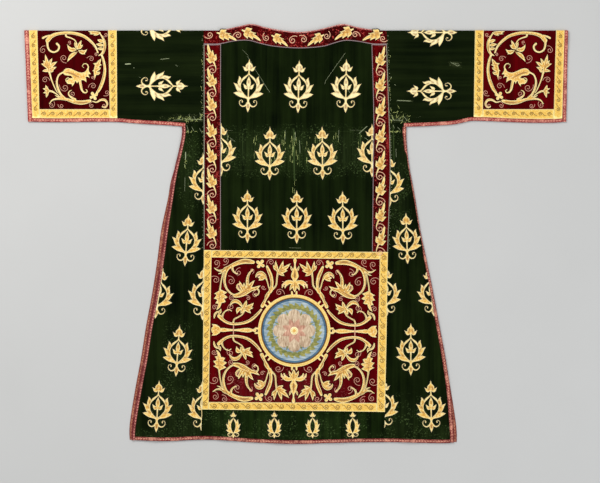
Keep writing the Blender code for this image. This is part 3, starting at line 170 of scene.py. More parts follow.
def eased(start, stop, leave, arrive, t):
    """Places between start and stop, leaving and arriving at those slopes."""
    return (start * (2 * t ** 3 - 3 * t ** 2 + 1) + leave * (t ** 3 - 2 * t ** 2 + t)
            + stop * (3 * t ** 2 - 2 * t ** 3) + arrive * (t ** 3 - t ** 2))


def read(rows, position, column=1):
    """The value of a table's column at a position, on a smooth curve through its rows."""
    rows = sorted(rows)
    position = min(max(position, rows[0][0]), rows[-1][0])
    index = 0
    while index < len(rows) - 2 and position > rows[index + 1][0]:
        index += 1
    before, start = rows[max(index - 1, 0)], rows[index]
    stop, after = rows[index + 1], rows[min(index + 2, len(rows) - 1)]
    span = stop[0] - start[0]
    leave = (stop[column] - before[column]) / (stop[0] - before[0]) * span
    arrive = (after[column] - start[column]) / (after[0] - start[0]) * span
    return eased(start[column], stop[column], leave, arrive, (position - start[0]) / span)


def fine(rows, column=1):
    """A table's column at small even steps."""
    low, high = min(row[0] for row in rows), max(row[0] for row in rows)
    at = np.linspace(low, high, int((high - low) / FINE_STEP) + 2)
    return at, np.array([read(rows, place, column) for place in at])


EDGES = {"hem": fine(HEM), "neck_top": fine(NECK_TOP), "neck_lower": fine(NECK_LOWER)}
for side in SIGN:
    EDGES[f"front_{side}"] = fine(SIDE_EDGES[side])
    EDGES[f"back_{side}"] = fine(SIDE_EDGES[side], 2)
    EDGES[f"under_{side}"] = fine(SLEEVE_UNDER[side])
    EDGES[f"seam_{side}"] = fine(BODY_SEAM[side])
    EDGES[f"band_{side}"] = fine(BAND_INNER[side])


def edge_at(name, position):
    return np.interp(position, *EDGES[name])


def spaced(start, stop, step=CLOTH_STEP):
    return np.linspace(start, stop, max(2, int(abs(stop - start) / step) + 2))


def upright(name, start, stop, offset=0.0):
    """Points along an edge that runs up the garment, from one y to another."""
    ys = spaced(start, stop)
    return np.column_stack([edge_at(name, ys) + offset, ys])


def level(name, start, stop, offset=0.0):
    """Points along an edge that runs across the garment, from one x to another."""
    xs = spaced(start, stop)
    return np.column_stack([xs, edge_at(name, xs) + offset])


def straight(start, stop, step=CLOTH_STEP):
    count = max(2, int(math.dist(start, stop) / step) + 2)
    return np.linspace(start, stop, count)


def joined(*runs):
    """One closed outline from runs of points, without the repeated corners."""
    points = np.vstack([np.atleast_2d(run) for run in runs]).astype(float)
    gaps = np.hypot(*(points - np.roll(points, 1, axis=0)).T)
    return points[gaps > 0.05]


def sleeve_line(side, name, y):
    at_fold, at_under = SLEEVE_LINES[side][name]
    share = (FOLD_Y - np.asarray(y)) / (FOLD_Y - SLEEVE_LINE_BOTTOM)
    return SIGN[side] * (at_fold + (at_under - at_fold) * np.minimum(share, 1.1))


def apparel_y(corners, edge, x):
    (x0, y0), (x1, y1) = corners[f"{edge}_left"], corners[f"{edge}_right"]
    return y0 + (y1 - y0) * (x - x0) / (x1 - x0)


def field_side(side, y):
    (x0, y0), (x1, y1) = APPAREL_INNER[f"top_{side}"], APPAREL_INNER[f"bottom_{side}"]
    return x0 + (x1 - x0) * (y - y0) / (y1 - y0)


# ---------------------------------------------------------------- how the cloth lies

def ease(low, high, value):
    share = np.clip((value - low) / (high - low), 0.0, 1.0)
    return share * share * (3 - 2 * share)


def off_line(x, y, x0, y0, x1, y1):
    """Each place's share of the way along a line, and its distance from the line."""
    dx, dy = x1 - x0, y1 - y0
    share = np.clip(((x - x0) * dx + (y - y0) * dy) / max(dx * dx + dy * dy, 1e-6), 0, 1)
    return share, np.hypot(x - x0 - share * dx, y - y0 - share * dy)


def ridge(rows, x, y, blunt):
    """Folds along lines, highest at their middles."""
    rise = np.zeros_like(x)
    for *line, width, height in rows:
        share, away = off_line(x, y, *line)
        bow = np.sin(np.pi * (0.12 + 0.76 * share))
        rise += height * np.maximum(0, 1 - 2 * away / width) ** blunt * bow
    return rise


def puff(x, y):
    """How far the front stands over its lowest place."""
    near_roundel = np.hypot(x - ROUNDEL["x"], y - ROUNDEL["y"])
    broad = 0.5 + 0.5 * np.sin(x / 96 + 0.7) * np.cos(y / 118 - 0.4)
    waves = 0.9 * broad * ease(*FLAT_ROUND_ROUNDEL, near_roundel) + ridge(CREASES, x, y, 1.3)
    waves += ridge(SOFT_FOLDS, x, y, 1.6) * ease(100, 130, near_roundel)
    for middle, width, height, reach in RIPPLES:
        across = np.maximum(0, 1 - (2 * (x - middle) / width) ** 2)
        waves += height * across ** 2 * np.exp(-((y - edge_at("hem", x)) / reach) ** 2)
    waves += 0.16 * (np.sin(x / 11.3 + np.sin(y / 23)) + np.sin(y / 13.7 + 1.3 * np.sin(x / 31)))
    below = np.maximum(ROLL_Y - y, 0.0)
    return waves * ease(0, 50, below) + ROLL_RISE * np.exp(-(below / ROLL_REACH) ** 2)


def unrolled(y):
    return ROLL_Y + ROLL_ARC + (ROLL_Y - y)


def rolled_back(v):
    return np.where(v <= ROLL_Y, v, np.where(v < ROLL_Y + ROLL_ARC, FOLD_Y, 2 * ROLL_Y + ROLL_ARC - v))


def front(x, y, h):
    return np.stack([x, y, FRONT_REST + puff(x, y) + h], axis=-1)


def back(x, y, h):
    return np.stack([x, y, h + 0.0 * x], axis=-1)


def folded(x, v, h):
    """Front, roll and back of the cloth that goes over the shoulder fold."""
    turn = np.clip((v - ROLL_Y) / FOLD_RADIUS, 0, math.pi)
    more = (h - VELVET) * (1 - ease(0.4 * math.pi, math.pi, turn))
    radius = FOLD_RADIUS + np.where(h > VELVET, more, h - VELVET)
    rolling = np.stack([x, ROLL_Y + radius * np.sin(turn), FOLD_RADIUS + radius * np.cos(turn)], axis=-1)
    under = np.stack([x, rolled_back(v), np.maximum(VELVET - h, 0.0)], axis=-1)
    on_front, on_back = (v <= ROLL_Y)[..., None], (v >= ROLL_Y + ROLL_ARC)[..., None]
    return np.where(on_front, front(x, v, h), np.where(on_back, under, rolling))


# ---------------------------------------------------------------- flat shapes

def smooth_run(rows, step=2.4):
    """A smooth run through rows of numbers, its first two columns a place."""
    rows = np.asarray(rows, float)
    slopes = np.gradient(rows, axis=0)
    parts = []
    for start, stop, leave, arrive in zip(rows[:-1], rows[1:], slopes[:-1], slopes[1:]):
        count = max(1, int(round(math.dist(start[:2], stop[:2]) / step)))
        parts.append(eased(start, stop, leave, arrive, (np.arange(count) / count)[:, None]))
    return np.vstack([*parts, rows[-1:]])


def outline(rows, step=2.4):
    """A closed outline through rows of x and y, and a 1 where it has a corner."""
    rows = [*rows, rows[0]]
    corners = [i for i, row in enumerate(rows) if row[2:]]
    runs = [smooth_run([row[:2] for row in rows[a:b + 1]], step)[:-1] for a, b in zip(corners, corners[1:])]
    return np.vstack(runs)


def both_sides(half):
    """Rows of a whole outline from those of its right half, top corner to bottom corner."""
    return half + [(-x, y, *corner) for x, y, *corner in half[-2:0:-1]]


def ways(run):
    """Unit steps along a run of places, and aside of it to the left."""
    along = np.gradient(run[:, :2], axis=0)
    along /= np.hypot(*along.T)[:, None]
    return along, np.column_stack([-along[:, 1], along[:, 0]])


def polar(x, y, reach, angle):
    return np.column_stack([x + reach * np.cos(angle), y + reach * np.sin(angle)])


def stem(rows, step=2.6):
    """A stem through rows of x, y and width, with round ends."""
    run = smooth_run(rows, step)
    along, aside = ways(run)
    half = run[:, 2:3] / 2
    bow = np.linspace(-0.5, 0.5, 7)[1:-1, None] * math.pi

    def cap(at, way):
        return run[at, :2] + half[at] * (np.cos(bow) * way * along[at] + np.sin(bow) * way * aside[at])

    right, left = run[:, :2] - aside * half, run[:, :2] + aside * half
    return np.vstack([right, cap(-1, 1), left[::-1], cap(0, -1)])


def leaf_spine(root_x, root_y, tip_x, tip_y, bend, t):
    """Places along the middle of a leaf at shares t of its length, and the way aside of it."""
    root, tip = np.array([root_x, root_y], float), np.array([tip_x, tip_y], float)
    along = tip - root
    aside = np.array([-along[1], along[0]]) / np.hypot(*along)
    middle = (root + tip) / 2 + 2 * bend * aside
    return (1 - t) ** 2 * root + 2 * t * (1 - t) * middle + t * t * tip, aside


def leaf(root_x, root_y, tip_x, tip_y, width, bend=0.0):
    """A leaf or petal from its root to its tip, its middle pushed aside by bend."""
    t = np.linspace(0, 1, 9)[:, None]
    spine, aside = leaf_spine(root_x, root_y, tip_x, tip_y, bend, t)
    half = width / 2 * np.sin(np.pi * t ** 0.8) ** 0.9
    return np.vstack([spine - half * aside, (spine + half * aside)[-2:0:-1]])


def blossom(x, y, radius, turn):
    """The outline of four round petals."""
    angle = np.linspace(0, 2 * np.pi, 40, endpoint=False)
    return polar(x, y, radius * (0.22 + 0.78 * np.abs(np.cos(2 * (angle - turn))) ** 0.7), angle)


def circle(x, y, radius, count=96):
    return polar(x, y, radius, np.linspace(0, 2 * np.pi, count, endpoint=False))


def inside(loop, points):
    """Which points lie in a closed loop."""
    x, y = points[:, :1], points[:, 1:]
    ax, ay = loop[:, 0], loop[:, 1]
    bx, by = np.roll(ax, -1), np.roll(ay, -1)
    rise = np.where(by == ay, 1.0, by - ay)
    crossing = ((ay > y) != (by > y)) & (x < (bx - ax) * (y - ay) / rise + ax)
    return crossing.sum(axis=1) % 2 == 1


def away_from(loops, points):
    """How far each point is from the nearest edge of the loops."""
    starts = np.vstack(loops)
    spans = np.vstack([np.roll(loop, -1, axis=0) for loop in loops]) - starts
    lengths = np.maximum((spans ** 2).sum(axis=1), 1e-9)
    nearest = np.empty(len(points))
    for first in range(0, len(points), 400):
        gap = points[first:first + 400, None, :] - starts
        share = np.clip((gap * spans).sum(axis=2) / lengths, 0, 1)
        off = gap - share[..., None] * spans
        nearest[first:first + 400] = np.hypot(off[..., 0], off[..., 1]).min(axis=1)
    return nearest


def rings(loops):
    """The edges of closed loops whose points follow each other in one list."""
    edges, first = [], 0
    for loop in loops:
        edges += [(first + i, first + (i + 1) % len(loop)) for i in range(len(loop))]
        first += len(loop)
    return edges


def triangles(loops, extra, keep):
    """Triangles over the loops' points and the extra ones, where keep says yes to their middles."""
    points = np.vstack([*loops, extra]) if len(extra) else np.vstack(loops)
    found = delaunay_2d_cdt([Vector(point) for point in points], rings(loops), [], 1, MERGE)
    places = np.array([(place.x, place.y) for place in found[0]])
    faces = np.array([tuple(face) for face in found[2]])
    return places, faces[keep(places[faces].mean(axis=1))]


def rim_of(faces, count):
    """Directed edges that only one triangle has."""
    pairs = np.vstack([faces[:, [0, 1]], faces[:, [1, 2]], faces[:, [2, 0]]]).astype(np.int64)
    return pairs[~np.isin(pairs[:, 0] * count + pairs[:, 1], pairs[:, 1] * count + pairs[:, 0])]


def trimmed(loops, panel):
    """The part of a shape's loops that lies in a panel."""
    def keep(middles):
        return (np.sum([inside(loop, middles) for loop in loops], axis=0) % 2 == 1) & inside(panel, middles)

    return edges_of(*triangles([*loops, panel], (), keep))


def united(shapes, voids=(), over=()):
    """The outlines of overlapping shapes, with voids cut from them and others laid over the voids."""
    def keep(middles):
        filled = np.any([inside(shape, middles) for shape in shapes], axis=0)
        for void in voids:
            filled &= ~inside(void, middles)
        return filled | np.any([inside(shape, middles) for shape in over], axis=0) if over else filled

    return edges_of(*triangles([*shapes, *voids, *over], (), keep))


def edges_of(places, faces):
    """Closed loops round flat triangles."""
    following = {}
    for a, b in rim_of(faces, len(places)).tolist():
        following.setdefault(a, []).append(b)
    loops = []
    while following:
        start = next(iter(following))
        loop, corner = [], start
        while True:
            loop.append(corner)
            onward = following[corner].pop()
            if not following[corner]:
                del following[corner]
            corner = onward
            if corner == start:
                break
        loops.append(evened(places[loop]))
    return [loop for loop in loops if len(loop) > 5]


def evened(loop):
    """A loop without points that crowd each other."""
    kept = [loop[0]]
    for point in loop[1:]:
        if math.dist(kept[-1], point) > CROWDED:
            kept.append(point)
    return np.array(kept)


def turned(points, x, y, turn=0.0, size=1.0, flip=1):
    """Points moved to x, y after a turn in degrees, and mirrored first where flip is -1."""
    c, s = math.cos(math.radians(turn)) * size, math.sin(math.radians(turn)) * size
    across, up = points[..., 0] * flip, points[..., 1]
    return np.stack([x + across * c - up * s, y + across * s + up * c], axis=-1)


def to_place(*place, **more):
    """A move of points, with the values that turned takes."""
    return lambda points: turned(points, *place, **more)


def unmoved(points):
    return points


# ---------------------------------------------------------------- meshes

class Work:
    """Meshes that are gathered into one piece, with a value or two at every point."""

    def __init__(self):
        self.places, self.faces, self.values, self.count = [], [], {}, 0

    def add(self, places, faces, **values):
        places = np.asarray(places).reshape(-1, 3)
        for face_set in faces:
            self.faces.append(np.asarray(face_set) + self.count)
        for name, value in values.items():
            self.values.setdefault(name, []).append((self.count, np.broadcast_to(value, len(places))))
        self.places.append(places)
        self.count += len(places)

    def piece(self, name, material, slot, nodes=(), on=None, angle=50):
        mesh = bpy.data.meshes.new(name)
        polygons = [face for face_set in self.faces for face in face_set.tolist()]
        mesh.from_pydata((np.vstack(self.places) * MM).tolist(), [], polygons)
        for key, runs in self.values.items():
            whole = np.zeros(self.count, np.float32)
            for first, value in runs:
                whole[first:first + len(value)] = value
            mesh.attributes.new(key, "FLOAT", "POINT").data.foreach_set("value", whole)
        mesh.materials.append(material)
        mesh.shade_smooth()
        mesh.set_sharp_from_angle(angle=math.radians(angle))
        made = bpy.data.objects.new(name, mesh)
        bpy.context.scene.collection.objects.link(made)
        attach(made, "root")
        if nodes:
            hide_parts(*nodes)
        if on:
            SEWN.setdefault(on, []).append(made)
        return made


SEWN = {}


def shell(work, places, faces, top, bottom, **values):
    """A closed wall over flat triangles, given the places of its upper and lower points."""
    count = len(places)
    rim = rim_of(faces, count)
    walls = np.column_stack([rim[:, 0] + count, rim[:, 1] + count, rim[:, 1], rim[:, 0]])
    twice = {key: np.concatenate([value, value]) for key, value in values.items()}
    work.add(np.vstack([top, bottom]), [faces, faces[:, ::-1] + count, walls], **twice)


def worn_at(x, y, patches, marks):
    worn = np.zeros_like(x)
    for px, py, wide, tall, strength in patches:
        worn = np.maximum(worn, strength * np.exp(-((x - px) / wide) ** 4 - ((y - py) / tall) ** 4))
    for *line, width, strength in marks:
        worn = np.maximum(worn, strength * np.clip(1.5 - off_line(x, y, *line)[1] / width, 0, 1))
    return worn


def sheet_mesh(path, ys=None, step=CLOTH_STEP, extra=()):
    """Flat triangles over an outline, from a grid of places and some extra ones."""
    low, high = path.min(axis=0), path.max(axis=0)
    xs = spaced(low[0], high[0], step)[1:-1]
    ys = spaced(low[1], high[1], step)[1:-1] if ys is None else ys
    grid = np.vstack([np.array([(x, y) for y in ys for x in xs]).reshape(-1, 2), *extra])
    grid = grid[inside(path, grid)]
    grid = grid[away_from([path], grid) > EDGE_GAP]
    return triangles([path], grid, lambda middles: np.ones(len(middles), bool))


def cloth(node, kind, path, surface, wall=VELVET, step=CLOTH_STEP, patches=(),
          marks=(), rows=None):
    """A closed wall of cloth on its own outline."""
    extra = []
    for *line, width, _ in marks:
        run = straight(line[:2], line[2:], 3.0)
        aside = np.array([line[1] - line[3], line[2] - line[0]]) / math.dist(line[:2], line[2:]) * width
        extra += [run + share * aside for share in (0, 0.5, -0.5, 1.6, -1.6)]
    places, faces = sheet_mesh(path, rows, step, extra)
    x, y = places.T
    work = Work()
    shell(work, places, faces, surface(x, y, wall + 0.0 * x), surface(x, y, 0.0 * x),
          worn=worn_at(x, y, patches, marks))
    made = work.piece(f"{node}_cloth", kind, kind.name.rpartition("_")[0], [node])
    size = (path.max(axis=0) - path.min(axis=0)) * MM
    area = min(abs(signed_area(path)) * MM * MM, size[0] * size[1])
    return made


def sweep(work, path, section, surface, closed=False, around=None, wave=None):
    """A section of places across and heights, carried along a path on a surface."""
    path = np.asarray(path, float)
    if closed:
        along = np.roll(path, -1, axis=0) - np.roll(path, 1, axis=0)
    else:
        along = np.gradient(path, axis=0)
    along /= np.maximum(np.hypot(*along.T), 1e-6)[:, None]
    steps = np.hypot(*(path - np.roll(path, 1, axis=0)).T)
    steps[0] = 0
    run = np.cumsum(steps)
    section = np.asarray(section, float)
    if section.ndim == 2:
        section = np.broadcast_to(section, (len(path), *section.shape))
    across, h = section[..., 0], section[..., 1]
    if wave:
        across, h = wave(run[:, None], across, h)
    x = path[:, :1] - along[:, 1:] * across
    y = path[:, 1:] + along[:, :1] * across
    count, sides = across.shape
    index = np.arange(count * sides).reshape(count, sides)
    here, after = (index, np.roll(index, -1, axis=0)) if closed else (index[:-1], index[1:])
    quads = np.stack([here, np.roll(here, -1, axis=1), np.roll(after, -1, axis=1), after], axis=-1)
    faces = [quads.reshape(-1, 4)]
    if not closed:
        faces += [index[:1, ::-1], index[-1:]]
    if around is None:
        around = np.arange(sides) / sides
    work.add(surface(x.ravel(), y.ravel(), h.ravel()), faces, along=np.repeat(run * MM, sides),
             across=np.tile(around, count))


def cord(work, path, radius, surface, h, closed=False, sides=6, flat=1.0, taper=0.0, aside=0.0):
    """A round cord, laid aside of its path. With a taper its ends draw in over that many millimetres."""
    angle = -np.pi / 2 + 2 * np.pi * np.arange(sides) / sides
    size = np.full(len(path), float(radius))
    if taper and not closed:
        steps = np.hypot(*np.gradient(np.asarray(path, float), axis=0).T)
        run = np.cumsum(steps)
        size *= np.clip(0.35 + 0.65 * np.minimum(run, run[-1] + steps[-1] - run) / taper, 0, 1)
    section = np.stack([aside + size[:, None] * np.cos(angle), h + flat * size[:, None] * np.sin(angle)],
                       axis=-1)
    sweep(work, path, section, surface, closed)


class Cut:
    """A shape cut from gold cloth or silk: flat triangles, and how far each point is from the edge."""

    def __init__(self, loops, step=3.0, hollows=()):
        self.loops = loops
        whole = np.vstack(loops)
        low, high = whole.min(axis=0), whole.max(axis=0)
        xs, ys = np.arange(low[0] + step / 2, high[0], step), np.arange(low[1], high[1], step * 0.87)
        grid = np.array([(x + (step / 2 if row % 2 else 0), y) for row, y in enumerate(ys) for x in xs])
        grid = grid.reshape(-1, 2)

        def filled(points):
            return np.sum([inside(loop, points) for loop in loops], axis=0) % 2 == 1

        grid = grid[filled(grid)]
        grid = grid[away_from(loops, grid) > 0.36 * step]
        self.places, self.faces = triangles(loops, grid, filled)
        self.under = triangles(loops, (), filled)[1]
        self.inset = away_from(loops, self.places)
        self.warm = np.zeros(len(self.places))
        for *line, reach in hollows:
            self.warm += np.exp(-(off_line(*self.places.T, *line)[1] / reach) ** 2)

    def lay(self, work, surface, wall, height=PADDING, move=unmoved, shade=0.0):
        """One copy on a surface whose cloth is that thick, padded towards its middle."""
        flat = move(self.places)
        top, under, count = self.faces, self.under, len(flat)
        around = sum(len(loop) for loop in self.loops)
        a, b, c = flat[top[0]]
        if (b[0] - a[0]) * (c[1] - a[1]) < (b[1] - a[1]) * (c[0] - a[0]):
            top, under = top[:, ::-1], under[:, ::-1]
        rim = rim_of(top, count)
        walls = np.column_stack([rim[:, 0] + count, rim[:, 1] + count, rim[:, 1], rim[:, 0]])
        x, y = flat.T
        raised = wall + height * (0.45 + 0.55 * (1 - np.exp(-self.inset / 1.6)))
        low = surface(x[:around], y[:around], wall - SINK + 0.0 * x[:around])
        work.add(np.vstack([surface(x, y, raised), low]), [top, under[:, ::-1] + count, walls],
                 inset=np.append(self.inset, self.inset[:around]),
                 warm=np.minimum(np.append(self.warm, self.warm[:around]), 1.0), shade=shade)

    def edge(self, work, surface, wall, lift=COUCHED_LIFT, move=unmoved, shadow=None, seam=None):
        """The cord couched along its edge and, given a shadow work, a narrow dark sheet beside it: painted
        shadow round the shape.
        """
        for loop in self.loops:
            placed = move(loop)
            way = 1 if signed_area(loop) * signed_area(placed) > 0 else -1
            for run in [placed] if seam is None else runs_off(seam, placed):
                closed = len(run) == len(placed)
                cord(work, run, COUCHED, surface, wall + lift, closed, 5, aside=COUCHED_ASIDE * way)
                if shadow is not None:
                    # A thin wedge of dark silk beside the cord: painted shadow on the velvet round the
                    # shape.
                    furrow = [(0.3 * way, wall - 0.2), (-2.7 * way, wall - 0.2), (-0.5 * way, wall + 0.45)]
                    sweep(shadow, run, furrow if way < 0 else furrow[::-1], surface, closed)


def signed_area(loop):
    following = np.roll(loop, -1, axis=0)
    return (loop[:, 0] * following[:, 1] - following[:, 0] * loop[:, 1]).sum() / 2


def runs_off(seam, loop):
    """The runs of a loop that don't lie along a seam."""
    free = away_from([seam], loop) > 0.4
    if free.all():
        return [loop]
    start = int(np.argmin(free))
    loop, free = np.roll(loop, -start, axis=0), np.roll(free, -start)
    cuts = np.flatnonzero(np.diff(free.astype(int))) + 1
    runs = [run for run, kept in zip(np.split(loop, cuts), np.split(free, cuts)) if kept[0]]
    return [run for run in runs if len(run) > 3]


# ---------------------------------------------------------------- finishes

class Finish:
    """A material's tree of nodes, in the words of the finishes below."""

    def __init__(self, name, **sockets):
        self.material = bpy.data.materials.new(name)
        self.material.use_nodes = True
        self.tree = self.material.node_tree
        self.shader = self.tree.nodes["Principled BSDF"]
        for key, value in sockets.items():
            self.shader.inputs[key.replace("_", " ").title().replace("Ior", "IOR")].default_value = value

    def wire(self, kind, feeds=(), **settings):
        """A node with its settings, fed by sockets or values."""
        made = self.tree.nodes.new(kind)
        for key, value in settings.items():
            setattr(made, key, value)
        for key, value in dict(feeds).items():
            if isinstance(value, bpy.types.NodeSocket):
                self.tree.links.new(value, made.inputs[key])
            else:
                made.inputs[key].default_value = value
        return made

    def calc(self, operation, *values):
        return self.wire("ShaderNodeMath", dict(enumerate(values)), operation=operation).outputs[0]

    def times(self, first, second):
        return self.calc("MULTIPLY", first, second)

    def plus(self, first, second):
        return self.calc("ADD", first, second)

    def blend(self, share, low, high):
        ends = [end if isinstance(end, bpy.types.NodeSocket) else (*end, 1) for end in (low, high)]
        return self.wire("ShaderNodeMix", {0: share, 6: ends[0], 7: ends[1]}, data_type="RGBA").outputs[2]

    def places(self, scale=(1, 1, 1)):
        coordinates = self.wire("ShaderNodeTexCoord").outputs["Object"]
        return self.wire("ShaderNodeMapping", {"Vector": coordinates, "Scale": scale}).outputs["Vector"]

    def noise(self, scale, detail=2.0, roughness=0.5):
        """Noise of one scale, or of a scale for each axis."""
        even = not isinstance(scale, tuple)
        feeds = {"Vector": self.places() if even else self.places(scale), "Scale": scale if even else 1.0,
                 "Detail": detail, "Roughness": roughness}
        return self.wire("ShaderNodeTexNoise", feeds).outputs["Fac"]

    def ramped(self, value, low, high):
        """The value's share of the way from low to high, kept between 0 and 1."""
        feeds = {"Value": value, "From Min": low, "From Max": high}
        return self.wire("ShaderNodeMapRange", feeds).outputs[0]

    def value(self, name):
        """One of the values that a mesh has at its points."""
        made = self.wire("ShaderNodeAttribute", attribute_name=name, attribute_type="GEOMETRY")
        return made.outputs["Fac"]

    def done(self, colour, height, distance, strength):
        bump = self.wire("ShaderNodeBump", {"Height": height, "Distance": distance, "Strength": strength})
        self.tree.links.new(bump.outputs["Normal"], self.shader.inputs["Normal"])
        self.tree.links.new(colour, self.shader.inputs["Base Color"])
        return self.material


def velvet(name, deep, bright, rubbed, crosswise=False, flecks=0.5):
    """Cut pile in fine ribs, cloudy where it has been stroked, pale and threadbare where it is worn."""
    finish = Finish(name, roughness=0.9, sheen_weight=0.12, sheen_roughness=0.4, specular_ior_level=0.03)
    finish.shader.inputs["Sheen Tint"].default_value = (*[min(1.0, 5.0 * c + 0.02) for c in bright], 1)

    def drawn(across, along, depth):
        return (along, across, depth) if crosswise else (across, along, depth)

    clouds = finish.ramped(finish.noise(7.0, 5.0, 0.62), 0.34, 0.72)
    streaks = finish.ramped(finish.noise(drawn(210, 6, 40), 3.0, 0.6), 0.35, 0.75)
    bands = finish.ramped(finish.noise(drawn(46, 2.2, 12)), 0.40, 0.66)
    feeds = {"Vector": finish.places(), "Scale": 105.0, "Distortion": 1.6, "Detail": 1.0,
             "Detail Scale": 1.0}
    ribs = finish.wire("ShaderNodeTexWave", feeds, bands_direction="Y" if crosswise else "X").outputs["Fac"]
    share = finish.plus(finish.times(clouds, 0.75), finish.times(streaks, 0.40))
    share = finish.plus(share, finish.times(bands, 0.80))
    share = finish.times(share, finish.calc("MULTIPLY_ADD", ribs, 0.45, 0.55))
    colour = finish.blend(finish.ramped(share, 0.1, 1.35), deep, bright)

    worn = finish.value("worn")
    grain = finish.ramped(finish.noise(drawn(330, 8, 60), 3.0, 0.6), 0.38, 0.64)
    threadbare = finish.times(worn, finish.calc("MULTIPLY_ADD", grain, 0.85, 0.15))
    spots = finish.ramped(finish.noise((230, 230, 230), 3.0, 0.6), 0.56, 0.63)
    spots = finish.times(spots, finish.ramped(finish.noise(30.0, 3.0), 0.42, 0.58))
    spots = finish.times(spots, finish.ramped(worn, 0.002, 0.012))
    colour = finish.blend(finish.calc("MAXIMUM", threadbare, finish.times(spots, flecks)), colour, rubbed)
    height = finish.plus(finish.times(ribs, 0.8), finish.times(finish.noise(1400.0), 0.5))
    return finish.done(colour, height, 0.0004, 0.7)


def gold_cloth(name, body, edge, shade, heart, rim=2.8):
    """Yellow satin cut to shape: paler at its edge, partly its pale outline and partly painted highlight;
    warmer at its heart, brown silk in its hollows, with painted glints in fine specks.
    """
    finish = Finish(name, roughness=0.5, specular_ior_level=0.4)
    silk = finish.noise((120, 900, 120))
    clouds = finish.ramped(finish.noise(55.0, 4.0, 0.6), 0.42, 0.72)
    glints_and_specks = finish.noise(260.0, 3.0, 0.6)
    inset = finish.value("inset")
    colour = finish.blend(finish.ramped(inset, 2.5, 8.0), body, heart)
    colour = finish.blend(finish.times(clouds, 0.55), colour, heart)
    colour = finish.blend(finish.times(finish.ramped(silk, 0.4, 0.7), 0.2), colour, edge)
    # Fine bright specks of the pale colour are painted glints; the darker specks below are the satin's
    # mottle.
    colour = finish.blend(finish.times(finish.ramped(glints_and_specks, 0.52, 0.66), 0.6), colour, edge)
    colour = finish.blend(finish.times(finish.ramped(glints_and_specks, 0.46, 0.34), 0.5), colour, shade)
    # The pale rim is partly the pale outline and partly a painted highlight along the edge.
    colour = finish.blend(finish.ramped(inset, rim, 0.8), colour, edge)
    colour = finish.blend(finish.times(finish.value("shade"), 0.75), colour, edge)
    colour = finish.blend(finish.times(finish.value("warm"), 0.75), colour, shade)
    return finish.done(colour, silk, 0.0003, 0.6)


def silk_cord(name, body, twist, pitch=0.0026, roughness=0.5):
    """Two-ply cord: slanting light and dark plies from its own length and turn."""
    finish = Finish(name, roughness=roughness)
    phase = finish.calc("MULTIPLY_ADD", finish.value("along"), 1.0 / pitch,
                        finish.times(finish.value("across"), 2.0))
    ply = finish.calc("MULTIPLY_ADD", finish.calc("SINE", finish.times(phase, 2 * math.pi)), 0.5, 0.5)
    fade = finish.ramped(finish.noise(45.0, 3.0), 0.4, 0.8)
    colour = finish.blend(finish.times(ply, 0.7), body, twist)
    colour = finish.blend(finish.times(fade, 0.3), colour, twist)
    return finish.done(colour, ply, 0.0004, 0.8)


def galloon_weave(name, ground, thread, core, middle=0.0, rub=1.0):
    """Woven galloon: crimson selvages and a salmon and gold rope between, flecked where it is rubbed."""
    finish = Finish(name, roughness=0.6, sheen_weight=0.1, specular_ior_level=0.2)
    off = finish.calc("ABSOLUTE", finish.calc("SUBTRACT", finish.value("across"), middle))
    slant = finish.calc("MULTIPLY_ADD", finish.value("along"), 1 / 0.0078, finish.times(off, 0.9))
    weave = finish.calc("MULTIPLY_ADD", finish.calc("SINE", finish.times(slant, 2 * math.pi)), 0.5, 0.5)
    fade = finish.ramped(finish.noise(34.0, 4.0), 0.44, 0.62)
    bright = finish.ramped(finish.noise(60.0, 3.0), 0.52, 0.66)
    flecks = finish.ramped(finish.noise(330.0, 2.0, 0.7), 0.5, 0.68)
    rope = finish.times(finish.ramped(off, 0.55, 0.15), finish.calc("MULTIPLY_ADD", weave, 0.8, 0.05))
    colour = finish.blend(finish.times(weave, 0.45), ground, thread)
    colour = finish.blend(rope, colour, core)
    colour = finish.blend(finish.times(fade, 0.6), colour, ground)
    colour = finish.blend(finish.times(flecks, 0.6 * rub), colour, core)
    colour = finish.blend(finish.times(bright, 0.45 * rub), colour, core)
    return finish.done(colour, finish.plus(weave, finish.times(finish.noise(1100.0), 0.5)), 0.0005, 0.8)


def laid_silk(name, low, high, stripe=(60, 700, 60), roughness=0.42, gloss=0.5, sheen=0.1):
    """Long flat stitches of floss silk, light and dark by turns."""
    finish = Finish(name, roughness=roughness, sheen_weight=sheen, specular_ior_level=gloss)
    stitches = finish.noise(stripe)
    clouds = finish.ramped(finish.noise(38.0, 3.0), 0.35, 0.7)
    share = finish.plus(finish.times(finish.ramped(stitches, 0.35, 0.65), 0.6), finish.times(clouds, 0.4))
    share = finish.times(share, finish.calc("SUBTRACT", 1.0, finish.times(finish.value("shade"), 0.8)))
    return finish.done(finish.blend(share, low, high), stitches, 0.0003, 0.7)


GREEN = velvet("green_velvet_upright", (0.0012, 0.0030, 0.0005), (0.0094, 0.0176, 0.0030),
               (0.095, 0.150, 0.045))
GREEN_ACROSS = velvet("green_velvet_across", (0.0020, 0.0046, 0.0009), (0.0092, 0.0156, 0.0032),
                      (0.115, 0.140, 0.055), crosswise=True)
GREEN_WORN = velvet("green_velvet_worn", (0.0018, 0.0042, 0.0007), (0.0115, 0.0255, 0.0038),
                    (0.095, 0.160, 0.045))
RED = velvet("red_velvet_field", (0.044, 0.0001, 0.0005), (0.138, 0.0002, 0.0022), (0.36, 0.08, 0.08))
RED_DARK = velvet("red_velvet_dark", (0.024, 0.0001, 0.0004), (0.078, 0.0002, 0.0014), (0.36, 0.08, 0.08))
RED_BAND = velvet("red_velvet_band", (0.009, 0.0001, 0.0003), (0.122, 0.0004, 0.0016), (0.70, 0.085, 0.07),
                  flecks=0.8)
